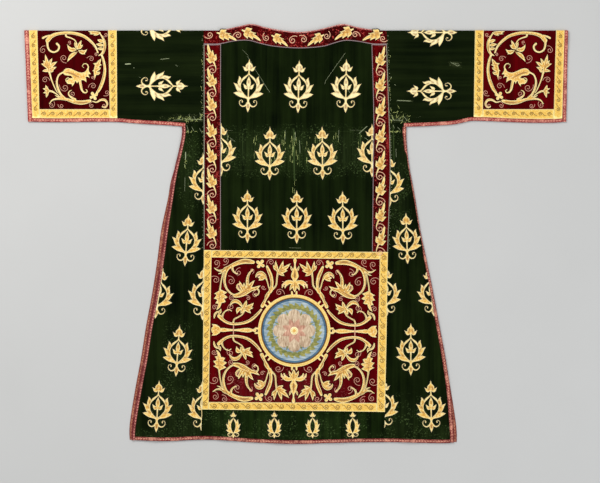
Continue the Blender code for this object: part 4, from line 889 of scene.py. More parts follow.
GOLD = gold_cloth("gold_satin", (0.91, 0.555, 0.084), (1.0, 0.97, 0.60), (0.28, 0.090, 0.010),
                  (0.76, 0.370, 0.032), rim=2.5)
FRAME_GOLD = gold_cloth("gold_frame_satin", (0.90, 0.58, 0.092), (1.0, 0.84, 0.33),
                        (0.50, 0.23, 0.04), (0.84, 0.48, 0.058))
EDGE_CORD = silk_cord("pale_gold_cord", (1.0, 0.90, 0.45), (0.95, 0.58, 0.15), roughness=0.32)
TENDRIL = silk_cord("rose_gold_cord", (0.90, 0.50, 0.33), (0.58, 0.20, 0.13))
BAND_TENDRIL = silk_cord("pale_rose_gold_cord", (1.0, 0.66, 0.40), (0.62, 0.20, 0.11))
BROWN_CORD = silk_cord("brown_cord", (0.115, 0.045, 0.010), (0.065, 0.024, 0.006))
SEAM_CORD = silk_cord("faded_rose_cord", (0.34, 0.26, 0.26), (0.17, 0.10, 0.11), pitch=0.005)
PALE_SEAM = silk_cord("grey_green_cord", (0.34, 0.33, 0.23), (0.13, 0.11, 0.08), pitch=0.007)
# Painted shadow: near-black sheets of silk laid round the gold shapes, on green and on red velvet.
GREEN_PAINTED_SHADOW = laid_silk("green_furrow", (0.0010, 0.0016, 0.0010), (0.0020, 0.0034, 0.0020), roughness=0.9)
RED_PAINTED_SHADOW = laid_silk("red_furrow", (0.012, 0.0002, 0.0003), (0.034, 0.0006, 0.0010), roughness=0.9,
                       gloss=0.05, sheen=0.0)
TRIM = galloon_weave("crimson_galloon", (0.110, 0.002, 0.006), (0.34, 0.020, 0.024), (0.95, 0.42, 0.28),
                     rub=0.85)
SIDE_TRIM = galloon_weave("crimson_side_galloon", (0.105, 0.002, 0.006), (0.20, 0.008, 0.012),
                          (0.92, 0.36, 0.28), middle=0.45, rub=0.3)
PINK_TRIM = galloon_weave("pink_galloon", (0.22, 0.008, 0.014), (0.54, 0.060, 0.050), (0.96, 0.44, 0.31))
FADED_TRIM = galloon_weave("faded_galloon", (0.14, 0.010, 0.008), (0.32, 0.060, 0.034), (0.66, 0.28, 0.16),
                           rub=0.6)
PIPED = galloon_weave("salmon_piping", (0.30, 0.016, 0.026), (0.70, 0.18, 0.15), (1.0, 0.58, 0.48))
SKY_SILK = laid_silk("blue_floss", (0.050, 0.16, 0.28), (0.62, 0.68, 0.64))
RIM_SILK = laid_silk("dark_blue_floss", (0.014, 0.055, 0.115), (0.10, 0.24, 0.36))
LEAF_SILK = laid_silk("olive_floss", (0.09, 0.12, 0.018), (0.56, 0.48, 0.12))
CREAM_SILK = laid_silk("cream_floss", (0.30, 0.17, 0.085), (0.88, 0.70, 0.48), stripe=(500, 90, 90))
PEACH_SILK = laid_silk("peach_floss", (0.30, 0.11, 0.06), (0.80, 0.46, 0.31), stripe=(500, 90, 90))
VEIN_SILK = silk_cord("vein_silk", (0.40, 0.17, 0.035), (0.28, 0.10, 0.02))
THREAD = silk_cord("pale_thread", (0.42, 0.47, 0.27), (0.22, 0.27, 0.13))
FLOSS = silk_cord("loose_green_floss", (0.66, 0.72, 0.24), (0.30, 0.38, 0.09))
BRONZE = gold_cloth("bronze_shading", (0.26, 0.12, 0.025), (0.40, 0.20, 0.05), (0.2, 0.1, 0.02),
                    (0.20, 0.09, 0.02))

# ---------------------------------------------------------------- applique shapes

PALMETTE_HALF = [  # across, up, corner: from the crown's tip down to the spear's point
    (0, 152.5, 1), (1.4, 147), (2.6, 142.2), (6.4, 138.6), (9.4, 134.8), (10.2, 131.2), (9.4, 127.6, 1),
    (13.4, 128.4), (19.0, 131.6, 1), (15.8, 125.8), (14.4, 121.4), (11.8, 118.2), (8.8, 117.3),
    (5.2, 118.2), (1.9, 121.0, 1), (1.6, 113.0), (3.2, 108.6), (7.4, 105.2), (12.7, 101.4), (17.4, 97.0),
    (20.6, 91.4, 1), (22.0, 96.2), (24.8, 100.0), (28.8, 103.2, 1), (28.2, 97.2), (30.0, 90.8),
    (31.4, 84.2), (30.4, 77.2, 1), (33.8, 79.8), (38.4, 81.2), (43.6, 83.4, 1), (40.0, 77.4), (37.7, 73.0),
    (35.1, 66.2), (31.8, 60.6), (28.6, 57.2, 1), (33.4, 57.4), (37.6, 56.0), (42.8, 54.4, 1), (36.6, 50.0),
    (31, 46.6), (24.6, 43.4), (16, 41.4), (9, 40.0), (4.5, 38.0), (2.8, 34), (2.8, 28), (4.0, 23),
    (5.4, 17.5), (4.8, 12), (2.4, 5.4), (0, -0.5, 1),
]
PALMETTE_VOID = [
    (0, 107.6, 1), (4.9, 102), (10.4, 96.4), (17, 89.4), (21.2, 82), (22.4, 74), (20.2, 63), (13.2, 53.2),
    (6.4, 46), (0, 42.2, 1),
]
PALMETTE_BUD = [
    (0, 105, 1), (2.0, 98), (4.6, 92), (6.0, 84), (5.4, 78.6), (4.0, 75.2, 1), (7.8, 76.2), (11.2, 78.6),
    (16.4, 81.4, 1), (14.2, 76.4), (12.8, 71.8), (11.2, 68), (8.0, 65.6), (4.8, 66.2), (2.4, 67.8, 1),
    (1.8, 60), (1.5, 52), (1.7, 42), (0, 38, 1),
]
PALMETTE_VOLUTE = [  # x, y, width
    (2, 27, 4.2), (5.5, 21, 4.2), (10, 17.2, 3.6), (15.5, 16.2, 3.0), (21.3, 19.1, 2.4), (24.9, 25.6, 2.0),
    (23.8, 31.6, 1.8), (19.6, 34.2, 1.8), (16.2, 32.0, 2.3), (16.6, 28.8, 3.4),
]
PALMETTE_HALF_HOLLOWS = [  # from a notch between two lobes inwards: x0, y0, x1, y1, reach of the shading
    (10.6, 128.8, 4.2, 123.5, 1.9), (3.9, 134, 5, 128, 2.0), (21.6, 92.2, 24.5, 84, 2.3),
    (31.7, 79.2, 25.5, 70.5, 2.5), (31.2, 60.2, 21, 57, 2.6), (0, 21, 0, 14, 2.6), (5, 75.4, 4.2, 70, 2.0),
    (0, 90, 0, 84, 1.8), (10, 50, 4, 44, 2.2),
]
PALMETTE_HOLLOWS = [(sign * x0, y0, sign * x1, y1, reach)
                    for x0, y0, x1, y1, reach in PALMETTE_HALF_HOLLOWS for sign in (-1, 1)]
VINE_LEAF = [
    (-18.9, 51.6, 1), (-15.6, 46.4), (-13.2, 39.6), (-11, 33.4), (-8.2, 28.6, 1), (-6.4, 31.6),
    (-3.9, 34.6, 1), (-2.8, 30), (-1.6, 25.4), (0.2, 20.8), (1.4, 18, 1), (3.6, 21), (6.8, 23.2, 1),
    (6.9, 17.6), (8.2, 11.8), (7.6, 6.8), (4, 4.4), (1.2, 3.6, 1), (1, 0), (-2.4, -1.6), (-5.9, 0.4, 1),
    (-10.4, -3), (-15, -1.8), (-19, 3.6), (-24.8, 9.6, 1), (-20, 10.6), (-15.6, 10.8, 1), (-17.6, 16),
    (-20.6, 21.4), (-24.6, 26.4, 1), (-20.6, 24.8), (-16.8, 22.2, 1), (-18.6, 28), (-20.2, 35),
    (-20.9, 42.6), (-20.4, 48),
]
VINE_SLIM = (0.92, 1.0)
VINE_STEM = [(-1.5, 1.5, 5.5), (1.2, -5, 4.2), (3.2, -10, 3.4), (5, -17.5, 2.6)]
VINE_HOLLOWS = [
    (-8.2, 28.6, -11.5, 19, 2.1), (1.4, 18, -5, 12, 2.1), (-15.6, 10.8, -9, 10, 2.1),
    (-16.8, 22.2, -12, 17, 2.0), (1.2, 3.6, -4, 6, 1.8), (-5.9, 0.4, -8, 6, 1.8),
]
VINE_CURL = [
    (4.6, -15), (5.1, -20), (1.6, -27.6), (-4.3, -29.8), (-9.6, -27.6), (-11.5, -23.3), (-8.6, -19.4),
    (-3.7, -18.7), (-1.8, -21.7), (-3.9, -24),
]
VINE_ARC = [(3.4, -10.4), (-0.6, -9.4), (-4.8, -9.0), (-12.3, -11.6), (-17.1, -16.4), (-20, -21.8)]

SKIRT_STEMS = {  # one quarter, from the apparel's middle outwards and upwards: x, y, width
    "club": [(117, 190.5, 10), (128, 192.5, 14), (142, 193, 15.5), (160, 188, 13), (179, 179, 11),
        (195, 169, 8), (213, 166, 5), (226, 173, 2)],
    "club_barb": [(183, 177, 8), (196, 172, 7), (206, 160, 4), (214, 157, 2)],
    "great_scroll": [(183, 176, 7), (191, 166, 8), (196, 150, 8), (196.5, 133, 7), (190, 115, 6),
        (176, 101, 5.5), (160, 95, 7)],
    "inner_barb": [(176, 182, 8), (174, 168, 6), (167, 160, 4), (160, 158, 2.5)],
    "flower_body": [(167, 96, 11), (155, 98.5, 15), (142, 104, 17), (131, 110, 15), (119, 116, 11)],
    "flower_horn": [(131, 118, 11), (132.5, 132, 10), (132, 146, 8), (128, 158, 6), (122, 166, 4),
        (117.5, 170, 3)],
    "flower_tail": [(128, 111, 11), (116, 117, 8.5), (105, 116, 6), (99.8, 109, 4.4), (102.5, 100.5, 3.5),
        (108.5, 97.5, 3.0), (112, 101, 3.4)],
    "flower_back": [(144, 108, 10), (153, 111.5, 7), (160.5, 118, 5), (161, 126, 3.8), (155.5, 129.5, 3.2),
        (152, 125, 3.6)],
    "spray_stem": [(199, 166, 5), (203.5, 148, 4), (207, 130, 4), (210, 106, 6)],
    "post": [(78, 179, 7), (73.5, 168, 10), (67, 152, 10.5), (63.5, 134, 9), (65.5, 116, 8)],
    "knot": [(64, 121, 10), (67.5, 111, 12), (71, 105, 7)],
    "post_low": [(71, 107, 8), (74.5, 101, 11), (78.5, 94, 11), (81, 87, 7), (86, 77, 9), (90, 68, 11)],
    "left_twig": [(69, 112, 3.5), (73.5, 124, 3.6), (76, 134, 3.6), (80, 146, 4.6)],
    "right_twig": [(62, 114, 4.5), (52, 127, 5), (49.5, 150, 5), (46, 168, 8)],
    "arc": [(93, 58, 6), (103, 46, 8), (118, 32, 9), (132, 23.5, 8.5), (150, 18.5, 7.5), (171, 17, 7.5),
        (188, 21, 8), (202, 30, 9), (211, 39, 11)],
    "arc_lip": [(224.5, 33, 3), (223.5, 40, 6), (220, 47, 6.5), (213, 51, 5), (206, 51, 3)],
    "arc_curl": [(203, 32, 8), (200, 44, 5), (193, 53, 3.6), (183, 57, 3), (176, 53, 2.6)],
    "hanger": [(171, 20, 5), (168, 30, 4.5), (156, 37, 4), (146, 44, 4), (141, 54, 6)],
    "hung_left": [(143, 60, 5), (149, 70, 7), (158, 79, 11), (168, 81, 11), (176, 76, 7), (180, 69, 3)],
    "left_leaf": [(79, 142, 4), (84, 153, 9), (93, 160, 12), (102, 159, 10), (108, 153, 5), (109, 148, 2)],
}
SKIRT_LEAVES = [  # of a quarter: root x, root y, tip x, tip y, width, bend
    (128, 112, 95, 126, 10, 2), (130, 112, 112, 140, 11, -2), (136, 112, 121, 131, 9, 0),
    (140, 108, 155, 138, 11, -2), (138, 110, 143, 133, 9, 0), (83, 148, 101, 139, 12, 2),
    (84, 151, 104, 147, 10, 1), (47, 162, 54, 196, 10, -2), (48, 168, 61, 184, 9, -2),
    (46, 162, 33, 196, 11, 2), (46, 166, 12, 189, 12, 3), (46, 163, 20, 168, 12, -1),
    (46, 160, 29, 153, 10, -2), (142, 62, 114, 77, 13, 4), (141, 58, 122, 47, 11, -3),
    (143, 62, 134, 84, 10, 1), (141, 60, 115, 63, 9, 1), (146, 62, 161, 45, 13, 6),
    (144, 62, 150, 46, 9, 0), (213, 44, 206, 60, 8, 2),
]
SKIRT_SPRAY = [  # a lobed leaf hanging from its stem: x, y, corner
    (208.2, 114, 1), (214, 108), (225.8, 101.2, 1), (221, 99.8), (218.6, 96.6, 1), (222, 92.6),
    (226, 87, 1), (220, 86.4), (216, 83, 1), (219, 79), (221.6, 73.8, 1), (216.5, 74), (213, 71.6, 1),
    (216, 63), (219, 55, 1), (211.5, 60), (206.6, 67), (204, 76, 1), (198.5, 76.3), (192.6, 78.6, 1),
    (195.3, 84), (198.3, 88, 1), (193, 88.6), (187.4, 91.4, 1), (192.5, 95.8), (197.6, 99.4, 1),
    (193.5, 101.8), (188.8, 105.4, 1), (199, 109.5),
]
SPRAY_VEINS = [
    [(208.5, 110, 1), (210, 98, 1.6), (211, 84, 1.6), (215, 66, 0.8)],
    [(210, 100, 0.8), (216, 100, 1.3), (221, 101, 0.6)],
    [(210, 100, 0.8), (203, 101.5, 1.3), (196, 103, 0.6)],
    [(211, 88, 0.8), (216, 87.5, 1.3), (221, 87.5, 0.6)],
    [(211, 88, 0.8), (203, 90, 1.3), (194, 91, 0.6)],
]
SKIRT_AXIS = [  # leaves of the lily above the roundel
    (-4, 166, -11.5, 182, 6, 1.5), (4, 166, 11.5, 182, 6, -1.5), (0, 139, 0, 107, 13, 0),
    (-3, 134, -13.5, 112, 8, -1), (3, 134, 13.5, 112, 8, 1),
]
SKIRT_AXIS_STEMS = {
    "bud": [(0, 201, 6), (0, 196.5, 9.5), (0, 190, 5.5), (0, 183, 4), (0, 174, 7)],
    "vase": [(0, 177, 6), (0, 170, 11), (0, 161, 18), (0, 152, 21), (0, 145, 14), (0, 139, 8)],
    "lily_far_left": [(0, 133, 9), (-10, 135.5, 10.5), (-20, 136, 10), (-28.5, 132, 7), (-34, 125.5, 4),
        (-35, 120, 2.4)],
    "lily_far_right": [(0, 133, 9), (10, 135.5, 10.5), (20, 136, 10), (28.5, 132, 7), (34, 125.5, 4),
        (35, 120, 2.4)],
    "lily_curl_left": [(-18, 132, 6), (-25, 126, 5), (-27, 120, 3)],
    "lily_curl_right": [(18, 132, 6), (25, 126, 5), (27, 120, 3)],
}
SKIRT_SPINDLE = [
    (119, 0, 8), (126, 0, 12), (137, 0, 12), (152, 0, 8), (168, 0, 5), (184, 0, 7.5), (198, 0, 11),
    (205, 0, 10),
]
SKIRT_SPINDLE_BALL = (111, 0, 5.0)
SKIRT_TULIP = [(206, 0, 9), (210, 0, 19), (216, 0, 25), (220, 0, 25)]
TULIP_LEAVES = [
    (211, -8, 231, -16, 9, 1), (213, -2, 230, -5.5, 7.5, 0), (213, 2, 230, 5.5, 7.5, 0),
    (211, 8, 231, 16, 9, -1),
]
SKIRT_BLOSSOM = (96.7, 186.0, 13.5, 0.6)  # x, y, radius, turn
SKIRT_SLITS = [  # brown slits and veins of a quarter: rows of x, y, width
    [(137.2, 133, 0.8), (132, 134.5, 1.7), (127.2, 133, 0.8)],
    [(136.8, 141, 0.8), (132, 142.5, 1.7), (128, 141, 0.8)],
    [(135, 149, 0.8), (131, 150, 1.6), (127.5, 148, 0.8)],
    [(131.5, 157, 0.7), (128, 157.5, 1.4), (125.5, 155.5, 0.7)],
    [(0, 170, 1.0), (0.2, 160, 5.0), (0, 153, 6.0), (0, 147, 2.0)],
    [(0, 132, 0.8), (0, 124, 2.2), (0, 113, 0.7)],
    [(125, 190.5, 2.5), (134, 192.4, 4.6), (144, 192.2, 4.0), (156, 188, 1.6)],
    [(162, 95.5, 1.6), (152, 100, 3.6), (140, 107, 3.2), (128, 113, 1.2)],
    [(141, 112, 0.8), (134, 118, 1.6), (131, 124, 0.8)],
    [(100, 48, 0.8), (116, 34.5, 1.8), (134, 24, 0.8)],
    [(84, 82, 0.8), (80, 91, 1.8), (76, 99, 0.8)],
    [(66, 140, 0.8), (69, 155, 1.8), (74, 168, 0.8)],
    [(45, 168, 0.8), (38, 176, 1.5), (30, 182, 0.7)],
    [(130, 66, 0.8), (139, 62, 1.6), (148, 56, 0.7)],
]
SKIRT_CURLS = [  # x, y, radius, angle of the outer end in degrees, hand
    (219, 187, 8.5, 280, -1), (194, 194, 8, 300, -1), (221, 140, 9.5, 20, 1), (178, 137, 9.5, 60, 1),
    (158, 161, 8.5, 110, -1), (120, 167, 5, 260, -1), (103, 155, 5.5, 120, 1), (67, 191, 8, 330, 1),
    (43, 107, 9, 200, -1), (130, 90, 5.5, 40, 1), (110, 100, 7, 100, -1), (178, 64, 8, 300, 1),
    (224, 63, 6.5, 190, -1), (32, 128, 6, 70, 1), (156, 122, 5, 330, 1), (88, 120, 5, 200, 1),
    (176, 90, 6.5, 100, -1),
]

SLEEVE_FLOWER = [  # x towards the neck, y up, corner
    (-30, 101, 1), (-29.3, 105.9), (-22.5, 113.4), (-10, 113.7), (4.3, 107.5), (18.6, 102.3),
    (30.2, 104.1), (37.3, 110.7), (41.5, 116, 1), (42.7, 106.2), (48.9, 97.3, 1), (43, 98), (40, 95.5, 1),
    (43, 92), (44.5, 87.5, 1), (38, 91), (32.9, 90.2, 1), (35, 83), (35.5, 75, 1), (29, 80.5),
    (22.1, 81.2), (13.2, 77.7, 1), (11, 75), (9.6, 70.5, 1), (7.4, 76), (4.3, 79.4, 1), (1, 71),
    (-4.7, 63.4, 1), (-5.6, 70), (-9.8, 70.4), (-15.4, 72.3), (-19.8, 81.2, 1), (-10, 86.6),
    (-2.9, 86.6, 1), (-6, 91.6), (-10, 93.7), (-24.3, 95.5),
]
SLEEVE_STEMS = {
    "club": [(46, 23.5, 10), (38, 21, 14), (22, 18.5, 16), (2, 20.5, 14), (-21, 27.5, 10), (-45, 29, 8),
        (-60, 25, 5), (-68, 15, 3)],
    "club_barb": [(4, 27, 9), (-7, 33, 7), (-14, 41, 5), (-13, 49, 3.6), (-6, 53, 2.5)],
    "club_tuft": [(-30, 32, 8), (-44, 35, 5), (-52, 39, 2)],
    "riser": [(-24, 29, 9), (-37, 42, 9), (-45, 60, 8.5), (-47.5, 78, 7), (-42, 95, 6), (-30, 103, 6)],
    "horn": [(17, 80, 10), (19.5, 68, 9.5), (22, 56, 8), (27, 48, 6), (34, 46, 4.6), (38, 51, 3.5),
        (34, 55, 3)],
    "flower_curl": [(38, 110, 6), (41, 118, 4.6), (37, 126, 3.6), (29, 127, 3), (24, 121, 2.6),
        (28, 116, 2.4)],
    "flower_hook": [(-15, 72, 5), (-20, 77, 4), (-22, 83, 3.4), (-16, 88, 3), (-11, 84, 2.6)],
    "spray_stem": [(-46, 46, 3), (-54, 62, 4), (-62, 82, 5), (-69, 106, 8)],
    "twig": [(-42, 38, 3), (-54, 46, 5), (-62, 50, 7), (-70, 51, 6)],
    "great_stem": [(65, 46, 9), (74, 60, 12), (83, 84, 12), (87, 110, 10), (84, 134, 9), (79, 150, 7)],
    "arc": [(68, 158, 5), (60, 176, 8), (44, 193, 10), (24, 206, 11), (-5, 213, 11), (-38, 212, 11),
        (-60, 205, 14), (-73, 192, 16)],
    "arc_scroll": [(-73, 196, 9), (-73, 178, 7.5), (-68, 165, 6.5), (-56, 159.5, 6), (-44, 165, 6.5),
        (-41, 176, 7), (-47, 183, 8)],
    "arc_lip": [(-68, 205, 8), (-78, 203, 7), (-86, 199, 8)],
    "hanger": [(-22, 208, 7), (-20, 203, 6), (-8, 199, 5), (3, 193, 4), (9, 182, 5)],
    "upper_stem": [(72, 214, 4), (80, 202, 6), (86, 188, 10), (86, 170, 11), (80, 156, 9), (70, 150, 3)],
    "foot_scroll": [(52, 22, 3), (64, 19.5, 5), (76, 26, 8), (88, 25, 9), (94, 14, 7), (88, 5, 6),
        (80, 7, 4)],
}
SLEEVE_LEAVES = [  # the same for a sleeve
    (-69, 102, -80, 154, 14, 0), (-68, 112, -46, 133, 12, 3), (-72, 114, -92, 127, 11, -3),
    (-66, 106, -48, 118, 10, 2), (-70, 106, -88, 106, 10, -2), (-70, 120, -60, 143, 10, 1),
    (-75, 118, -86, 137, 9, -1), (-66, 104, -56, 108, 9, 1), (-72, 48, -79, 68, 10, 0),
    (-72, 54, -77, 32, 10, 0), (-66, 51, -87, 58, 9, 0), (-66, 51, -86, 45, 9, 0),
    (77, 142, 59, 84, 15, -5), (78, 124, 54, 128, 11, 1), (76, 116, 52, 107, 11, 1),
    (74, 104, 58, 97, 10, 1), (9, 166, -18, 182, 14, 8), (8, 166, -12, 164, 12, -2),
    (12, 164, 38, 168, 14, -7), (14, 162, 32, 153, 12, 3), (10, 166, 22, 193, 11, 0),
    (12, 168, 26, 180, 10, 0), (9, 168, 2, 188, 8, 0), (10, 160, -18, 132, 13, -4),
    (84, 188, 66, 194, 12, 0), (84, 178, 62, 182, 11, 0), (84, 168, 66, 170, 10, 0),
    (76, 214, 40, 218, 10, 2), (74, 214, 56, 206, 9, 0), (70, 215, 44, 210, 8, 0),
]
SLEEVE_BLOSSOM = (56.0, 37.0, 12.5, 0.5)
SLEEVE_SLITS = [
    [(40, 20.6, 1.4), (30, 19.4, 3.4), (16, 19, 3.2), (4, 21, 1.2)],
    [(-22, 103, 1.6), (-14, 102, 4.0), (0, 97, 4.2), (12, 91, 2.0), (20, 88, 0.8)],
    [(78, 74, 0.8), (83, 92, 2.0), (84, 110, 0.8)],
    [(-70, 104, 0.8), (-72, 118, 1.8), (-76, 136, 0.7)],
    [(-30, 210, 0.8), (-4, 210, 2.2), (20, 203, 0.8)],
    [(0, 150, 0.8), (6, 156, 2.2), (11, 162, 0.8)],
    [(84, 160, 0.8), (86, 172, 2.2), (84, 184, 0.8)],
]
SLEEVE_WAVE = (25.0, 5.2)  # pitch and radius of the spirals on a sleeve's frame
SLEEVE_CURLS = [
    (-86, 165, 8, 60, 1), (-28, 143, 9, 300, -1), (-12, 187, 4, 260, 1), (49, 141, 7, 170, -1),
    (-80, 82, 8, 350, 1), (-25, 60, 10, 150, 1), (54, 65, 8, 200, -1), (53, 88, 4, 300, 1),
    (93, 46, 7, 220, 1), (-4, 43, 7, 170, 1), (-62, 11, 7, 60, -1), (-35, 9, 6, 150, 1),
    (50, 10, 6, 80, 1), (85, 10, 6, 40, -1), (90, 208, 5, 200, 1), (63, 153, 4, 40, 1),
]

ROSETTE_PETAL = [(0, 60, 1), (13, 54), (17.5, 40), (10, 22), (0, 10, 1)]
WREATH_LEAVES = 28
VEIN_LIFT, TENDRIL_LIFT = 0.85, 0.6

SPRIG_HEIGHTS = [(0, 0), (41, 14.5), (107.6, 55.5), (152.5, 75.5)]  # of a great palmette, and of the hem's
SPRIG_SHARE, SPRIG_VOID_SHARE = 0.47, 0.29                            # their widths as shares of its width


def slimmed(rows, share):
    """A stem with that share of its width."""
    return stem([(x, y, share * width) for x, y, width in rows])


def scroll_shapes(stems, leaves, stem_share=1.0, leaf_share=1.0):
    """Stems and leaves with those shares of their widths."""
    return ([slimmed(rows, stem_share) for rows in stems.values()]
            + [leaf(*row[:4], leaf_share * row[4], row[5]) for row in leaves])


def mirrored(shapes):
    return [(shape * (-1, 1))[::-1] for shape in shapes]


def palmette_cut():
    volutes = [stem(PALMETTE_VOLUTE)]
    body = [outline(both_sides(PALMETTE_HALF))] + volutes + mirrored(volutes)
    bud = outline(both_sides(PALMETTE_BUD))
    return Cut(united(body, [outline(both_sides(PALMETTE_VOID))], [bud]), step=2.6,
               hollows=PALMETTE_HOLLOWS)


def sprig_cut():
    """A palmette pressed narrow and short, without its bud."""
    def squeezed(points, share):
        return np.column_stack([points[:, 0] * share, np.interp(points[:, 1], *np.array(SPRIG_HEIGHTS).T)])

    volutes = [stem(PALMETTE_VOLUTE) * (0.6, 0.5) - (0, 3)]
    body = [squeezed(outline(both_sides(PALMETTE_HALF)), SPRIG_SHARE)] + volutes + mirrored(volutes)
    return Cut(united(body, [squeezed(outline(both_sides(PALMETTE_VOID)), SPRIG_VOID_SHARE)]), step=2.2)


def vein_paths(leaves, stems):
    """Lines of brown silk: down the middle of each leaf, and along the shaded side of each stem."""
    shares = np.linspace(0.12, 0.72, 6)[:, None]
    paths = [leaf_spine(*row[:4], row[5], shares)[0] for row in leaves]
    for rows in stems:
        run = smooth_run(rows, 3.0)
        paths.append((run[:, :2] + ways(run)[1] * run[:, 2:3] * 0.17)[1:-1])
    return [path for path in paths if len(path) > 3]


CURL_TURNS = 1.55
CURL_LEAD = 0.15        # share of a tendril that swings in before it winds up


def curl(x, y, radius, angle, hand):
    """A tendril that swings in from its outer end and winds up."""
    t = np.linspace(0, 1, 34)
    swing = radius * (1 + 0.75 * np.maximum(0, 1 - t / CURL_LEAD) ** 1.5)
    wound = radius * (1 - 0.8 * np.maximum(0, (t - CURL_LEAD) / (1 - CURL_LEAD)))
    turn = math.radians(angle) + hand * 2 * np.pi * CURL_TURNS * t
    return polar(x, y, np.where(t < CURL_LEAD, swing, wound), turn)


# The green and red shadow entries are dark sheets of painted shadow round the gold shapes.
APPLIQUE_FINISHES = {
    "body": (GOLD, "gold"), "cord": (EDGE_CORD, "gold"), "green_furrow": (GREEN_PAINTED_SHADOW, "green_velvet"),
    "red_furrow": (RED_PAINTED_SHADOW, "red_velvet"), "tendrils": (TENDRIL, "gold"),
    "band_tendrils": (BAND_TENDRIL, "gold"), "slits": (BRONZE, "gold"), "veins": (VEIN_SILK, "gold"),
}


class Applique:
    """Gold shapes on a velvet with their cord and a thin dark sheet of painted shadow round them, and the
    silk that is worked with them.
    """

    def __init__(self, surface, wall, furrow):
        self.surface, self.wall, self.furrow = surface, wall, furrow
        self.works = {key: Work() for key in APPLIQUE_FINISHES}

    def lay(self, cut, move=unmoved, shade=0.0, seam=None):
        cut.lay(self.works["body"], self.surface, self.wall, move=move, shade=shade)
        cut.edge(self.works["cord"], self.surface, self.wall, move=move, shadow=self.works[self.furrow],
                 seam=seam)

    def slit(self, cut, move):
        cut.lay(self.works["slits"], self.surface, self.wall + 0.8, 0.35, move=move)

    def line(self, key, path, radius, lift, sides=6, taper=3.0):
        cord(self.works[key], path, radius, self.surface, self.wall + lift, sides=sides, taper=taper)

    def pieces(self, on, **names):
        for key, name in names.items():
            self.works[key].piece(name, *APPLIQUE_FINISHES[key], on=on)


# ---------------------------------------------------------------- the pieces

PALMETTES = {  # x, y of the spear's point, turn in degrees, size
    "front_centre": [(-135, 341, -1.8, 0.98), (5.5, 339, -1.5, 0.97), (138.7, 339.7, -1, 0.985),
        (-74, 151, -0.5, 0.98), (74.5, 152, 0.5, 0.98), (-210, 162, 0, 0.98), (213, 159, 0, 0.98),
        (-136, -25, 0, 0.98), (2, -27, 0, 0.98), (131.6, -29, 0.5, 0.98)],
    "front_gore_left": [(-259.5, 82, 0, 0.95), (-311.4, -90, -4.3, 0.955), (-394.5, -237, -9, 0.94),
        (-262, -241.5, -1.5, 0.99), (-336.3, -399, -4.2, 0.945), (-391.7, -555, -3.5, 0.955),
        (-263.5, -555, -0.5, 0.94)],
    "front_gore_right": [(262, 76, 0, 0.95), (312.6, -84, 2, 0.94), (253, -234, 0, 0.94),
        (386.7, -231, 7, 0.91), (321.5, -396.4, 0, 0.965), (245.5, -549, 0, 0.95), (379.5, -555, 1, 0.955)],
}
SLEEVE_PALMETTES = {
    "left": [(448, 414, 0.955), (448, 581, 0.955)],
    "right": [(449, 400, 0.915), (451, 564, 0.915)],
}
HEM_SPRIGS = [-175.6, -60.8, 46.5, 158.8]
HEM_SPRIG_Y = -572
VINE_TOPS = {
    "left": [522, 456, 389, 315, 244, 174, 101, 31],
    "right": [515.5, 444, 373.5, 300, 224, 152, 79, 12],
}
VINE_ROOT_X = {"left": -229.3, "right": 230.0}
VINE_DROP = 41.2
NECK_LEAVES = [  # root x, root y, turn in degrees, size, flip
    (-215.8, 560.7, -130, 1.0, 1), (-146, 567.5, -139, 1.02, 1), (-63.6, 552.5, -143, 0.92, 1),
    (236.2, 561, 130, 1.0, -1), (155.6, 570.5, 139, 1.02, -1), (73.4, 554, 143, 0.92, -1),
]
NECK_CURLS = [
    (-241.5, 557, 8.5, 200, 1), (-162, 556, 9, 200, -1), (-83, 549, 8.5, 110, 1), (-9.5, 542, 9.5, 40, 1),
    (21, 544.5, 9, 140, -1), (86, 554, 8.5, 70, -1), (166, 558, 8.5, 340, 1), (243, 547, 8, 340, -1),
]

GREEN_PATCHES = [
    (3, 232, 214, 58, 0.10), (-16, 236, 60, 44, 0.16), (150, 235, 40, 50, 0.12), (-120, 240, 50, 44, 0.12),
]
GREEN_MARKS = [  # x0, y0, x1, y1, width, strength
    (-6, 290, -4, 150, 1.6, 0.8), (8, 270, 10, 190, 1.2, 0.6), (-60, 280, -58, 220, 1.2, 0.5),
    (58, 286, 60, 232, 1.2, 0.5), (-150, 284, -148, 200, 1.2, 0.5), (180, 280, 182, 190, 1.4, 0.6),
    (-190, 284, 190, 288, 1.2, 0.14), (-192, 180, 60, 176, 1.2, 0.12),
]
SLEEVE_PATCHES = {
    "left": [(-310, 322, 60, 8, 0.12)],
    "right": [(300, 322, 40, 8, 0.12), (446, 475, 12, 6, 0.3)],
}
SLEEVE_MARKS = {
    "left": [(-330, 319, -262, 317, 1.2, 0.3)],
    "right": [(284, 374, 322, 373, 1.8, 0.5), (262, 320, 306, 314, 1.4, 0.4)],
}
GORE_MARKS = {
    "left": [(-310, 222, -296, 218, 2.0, 0.6), (-300, 230, -304, 200, 1.4, 0.4)],
    "right": [(272, 300, 276, 180, 1.2, 0.4)],
}
GORE_PATCHES = {
    "left": [(-300, -500, 80, 80, 0.07), (-285, -545, 70, 36, 0.10), (-300, 180, 26, 90, 0.07),
        (-400, -570, 40, 20, 0.09), (-330, -380, 40, 120, 0.04)],
    "right": [(300, -520, 60, 60, 0.05), (290, 150, 26, 120, 0.06), (400, -560, 50, 20, 0.07)],
}
BAND_MARKS = {
    "left": [(-214, 420, -216, 400, 2.4, 0.7), (-252, 300, -250, 280, 2.0, 0.6),
        (-246, 60, -244, 40, 2.2, 0.6), (-222, 170, -224, 150, 2.2, 0.5)],
    "right": [(222, 410, 224, 392, 2.4, 0.7), (256, 260, 257, 240, 2.0, 0.6), (228, 60, 226, 40, 2.2, 0.6),
        (256, 480, 255, 380, 1.6, 0.6)],
}
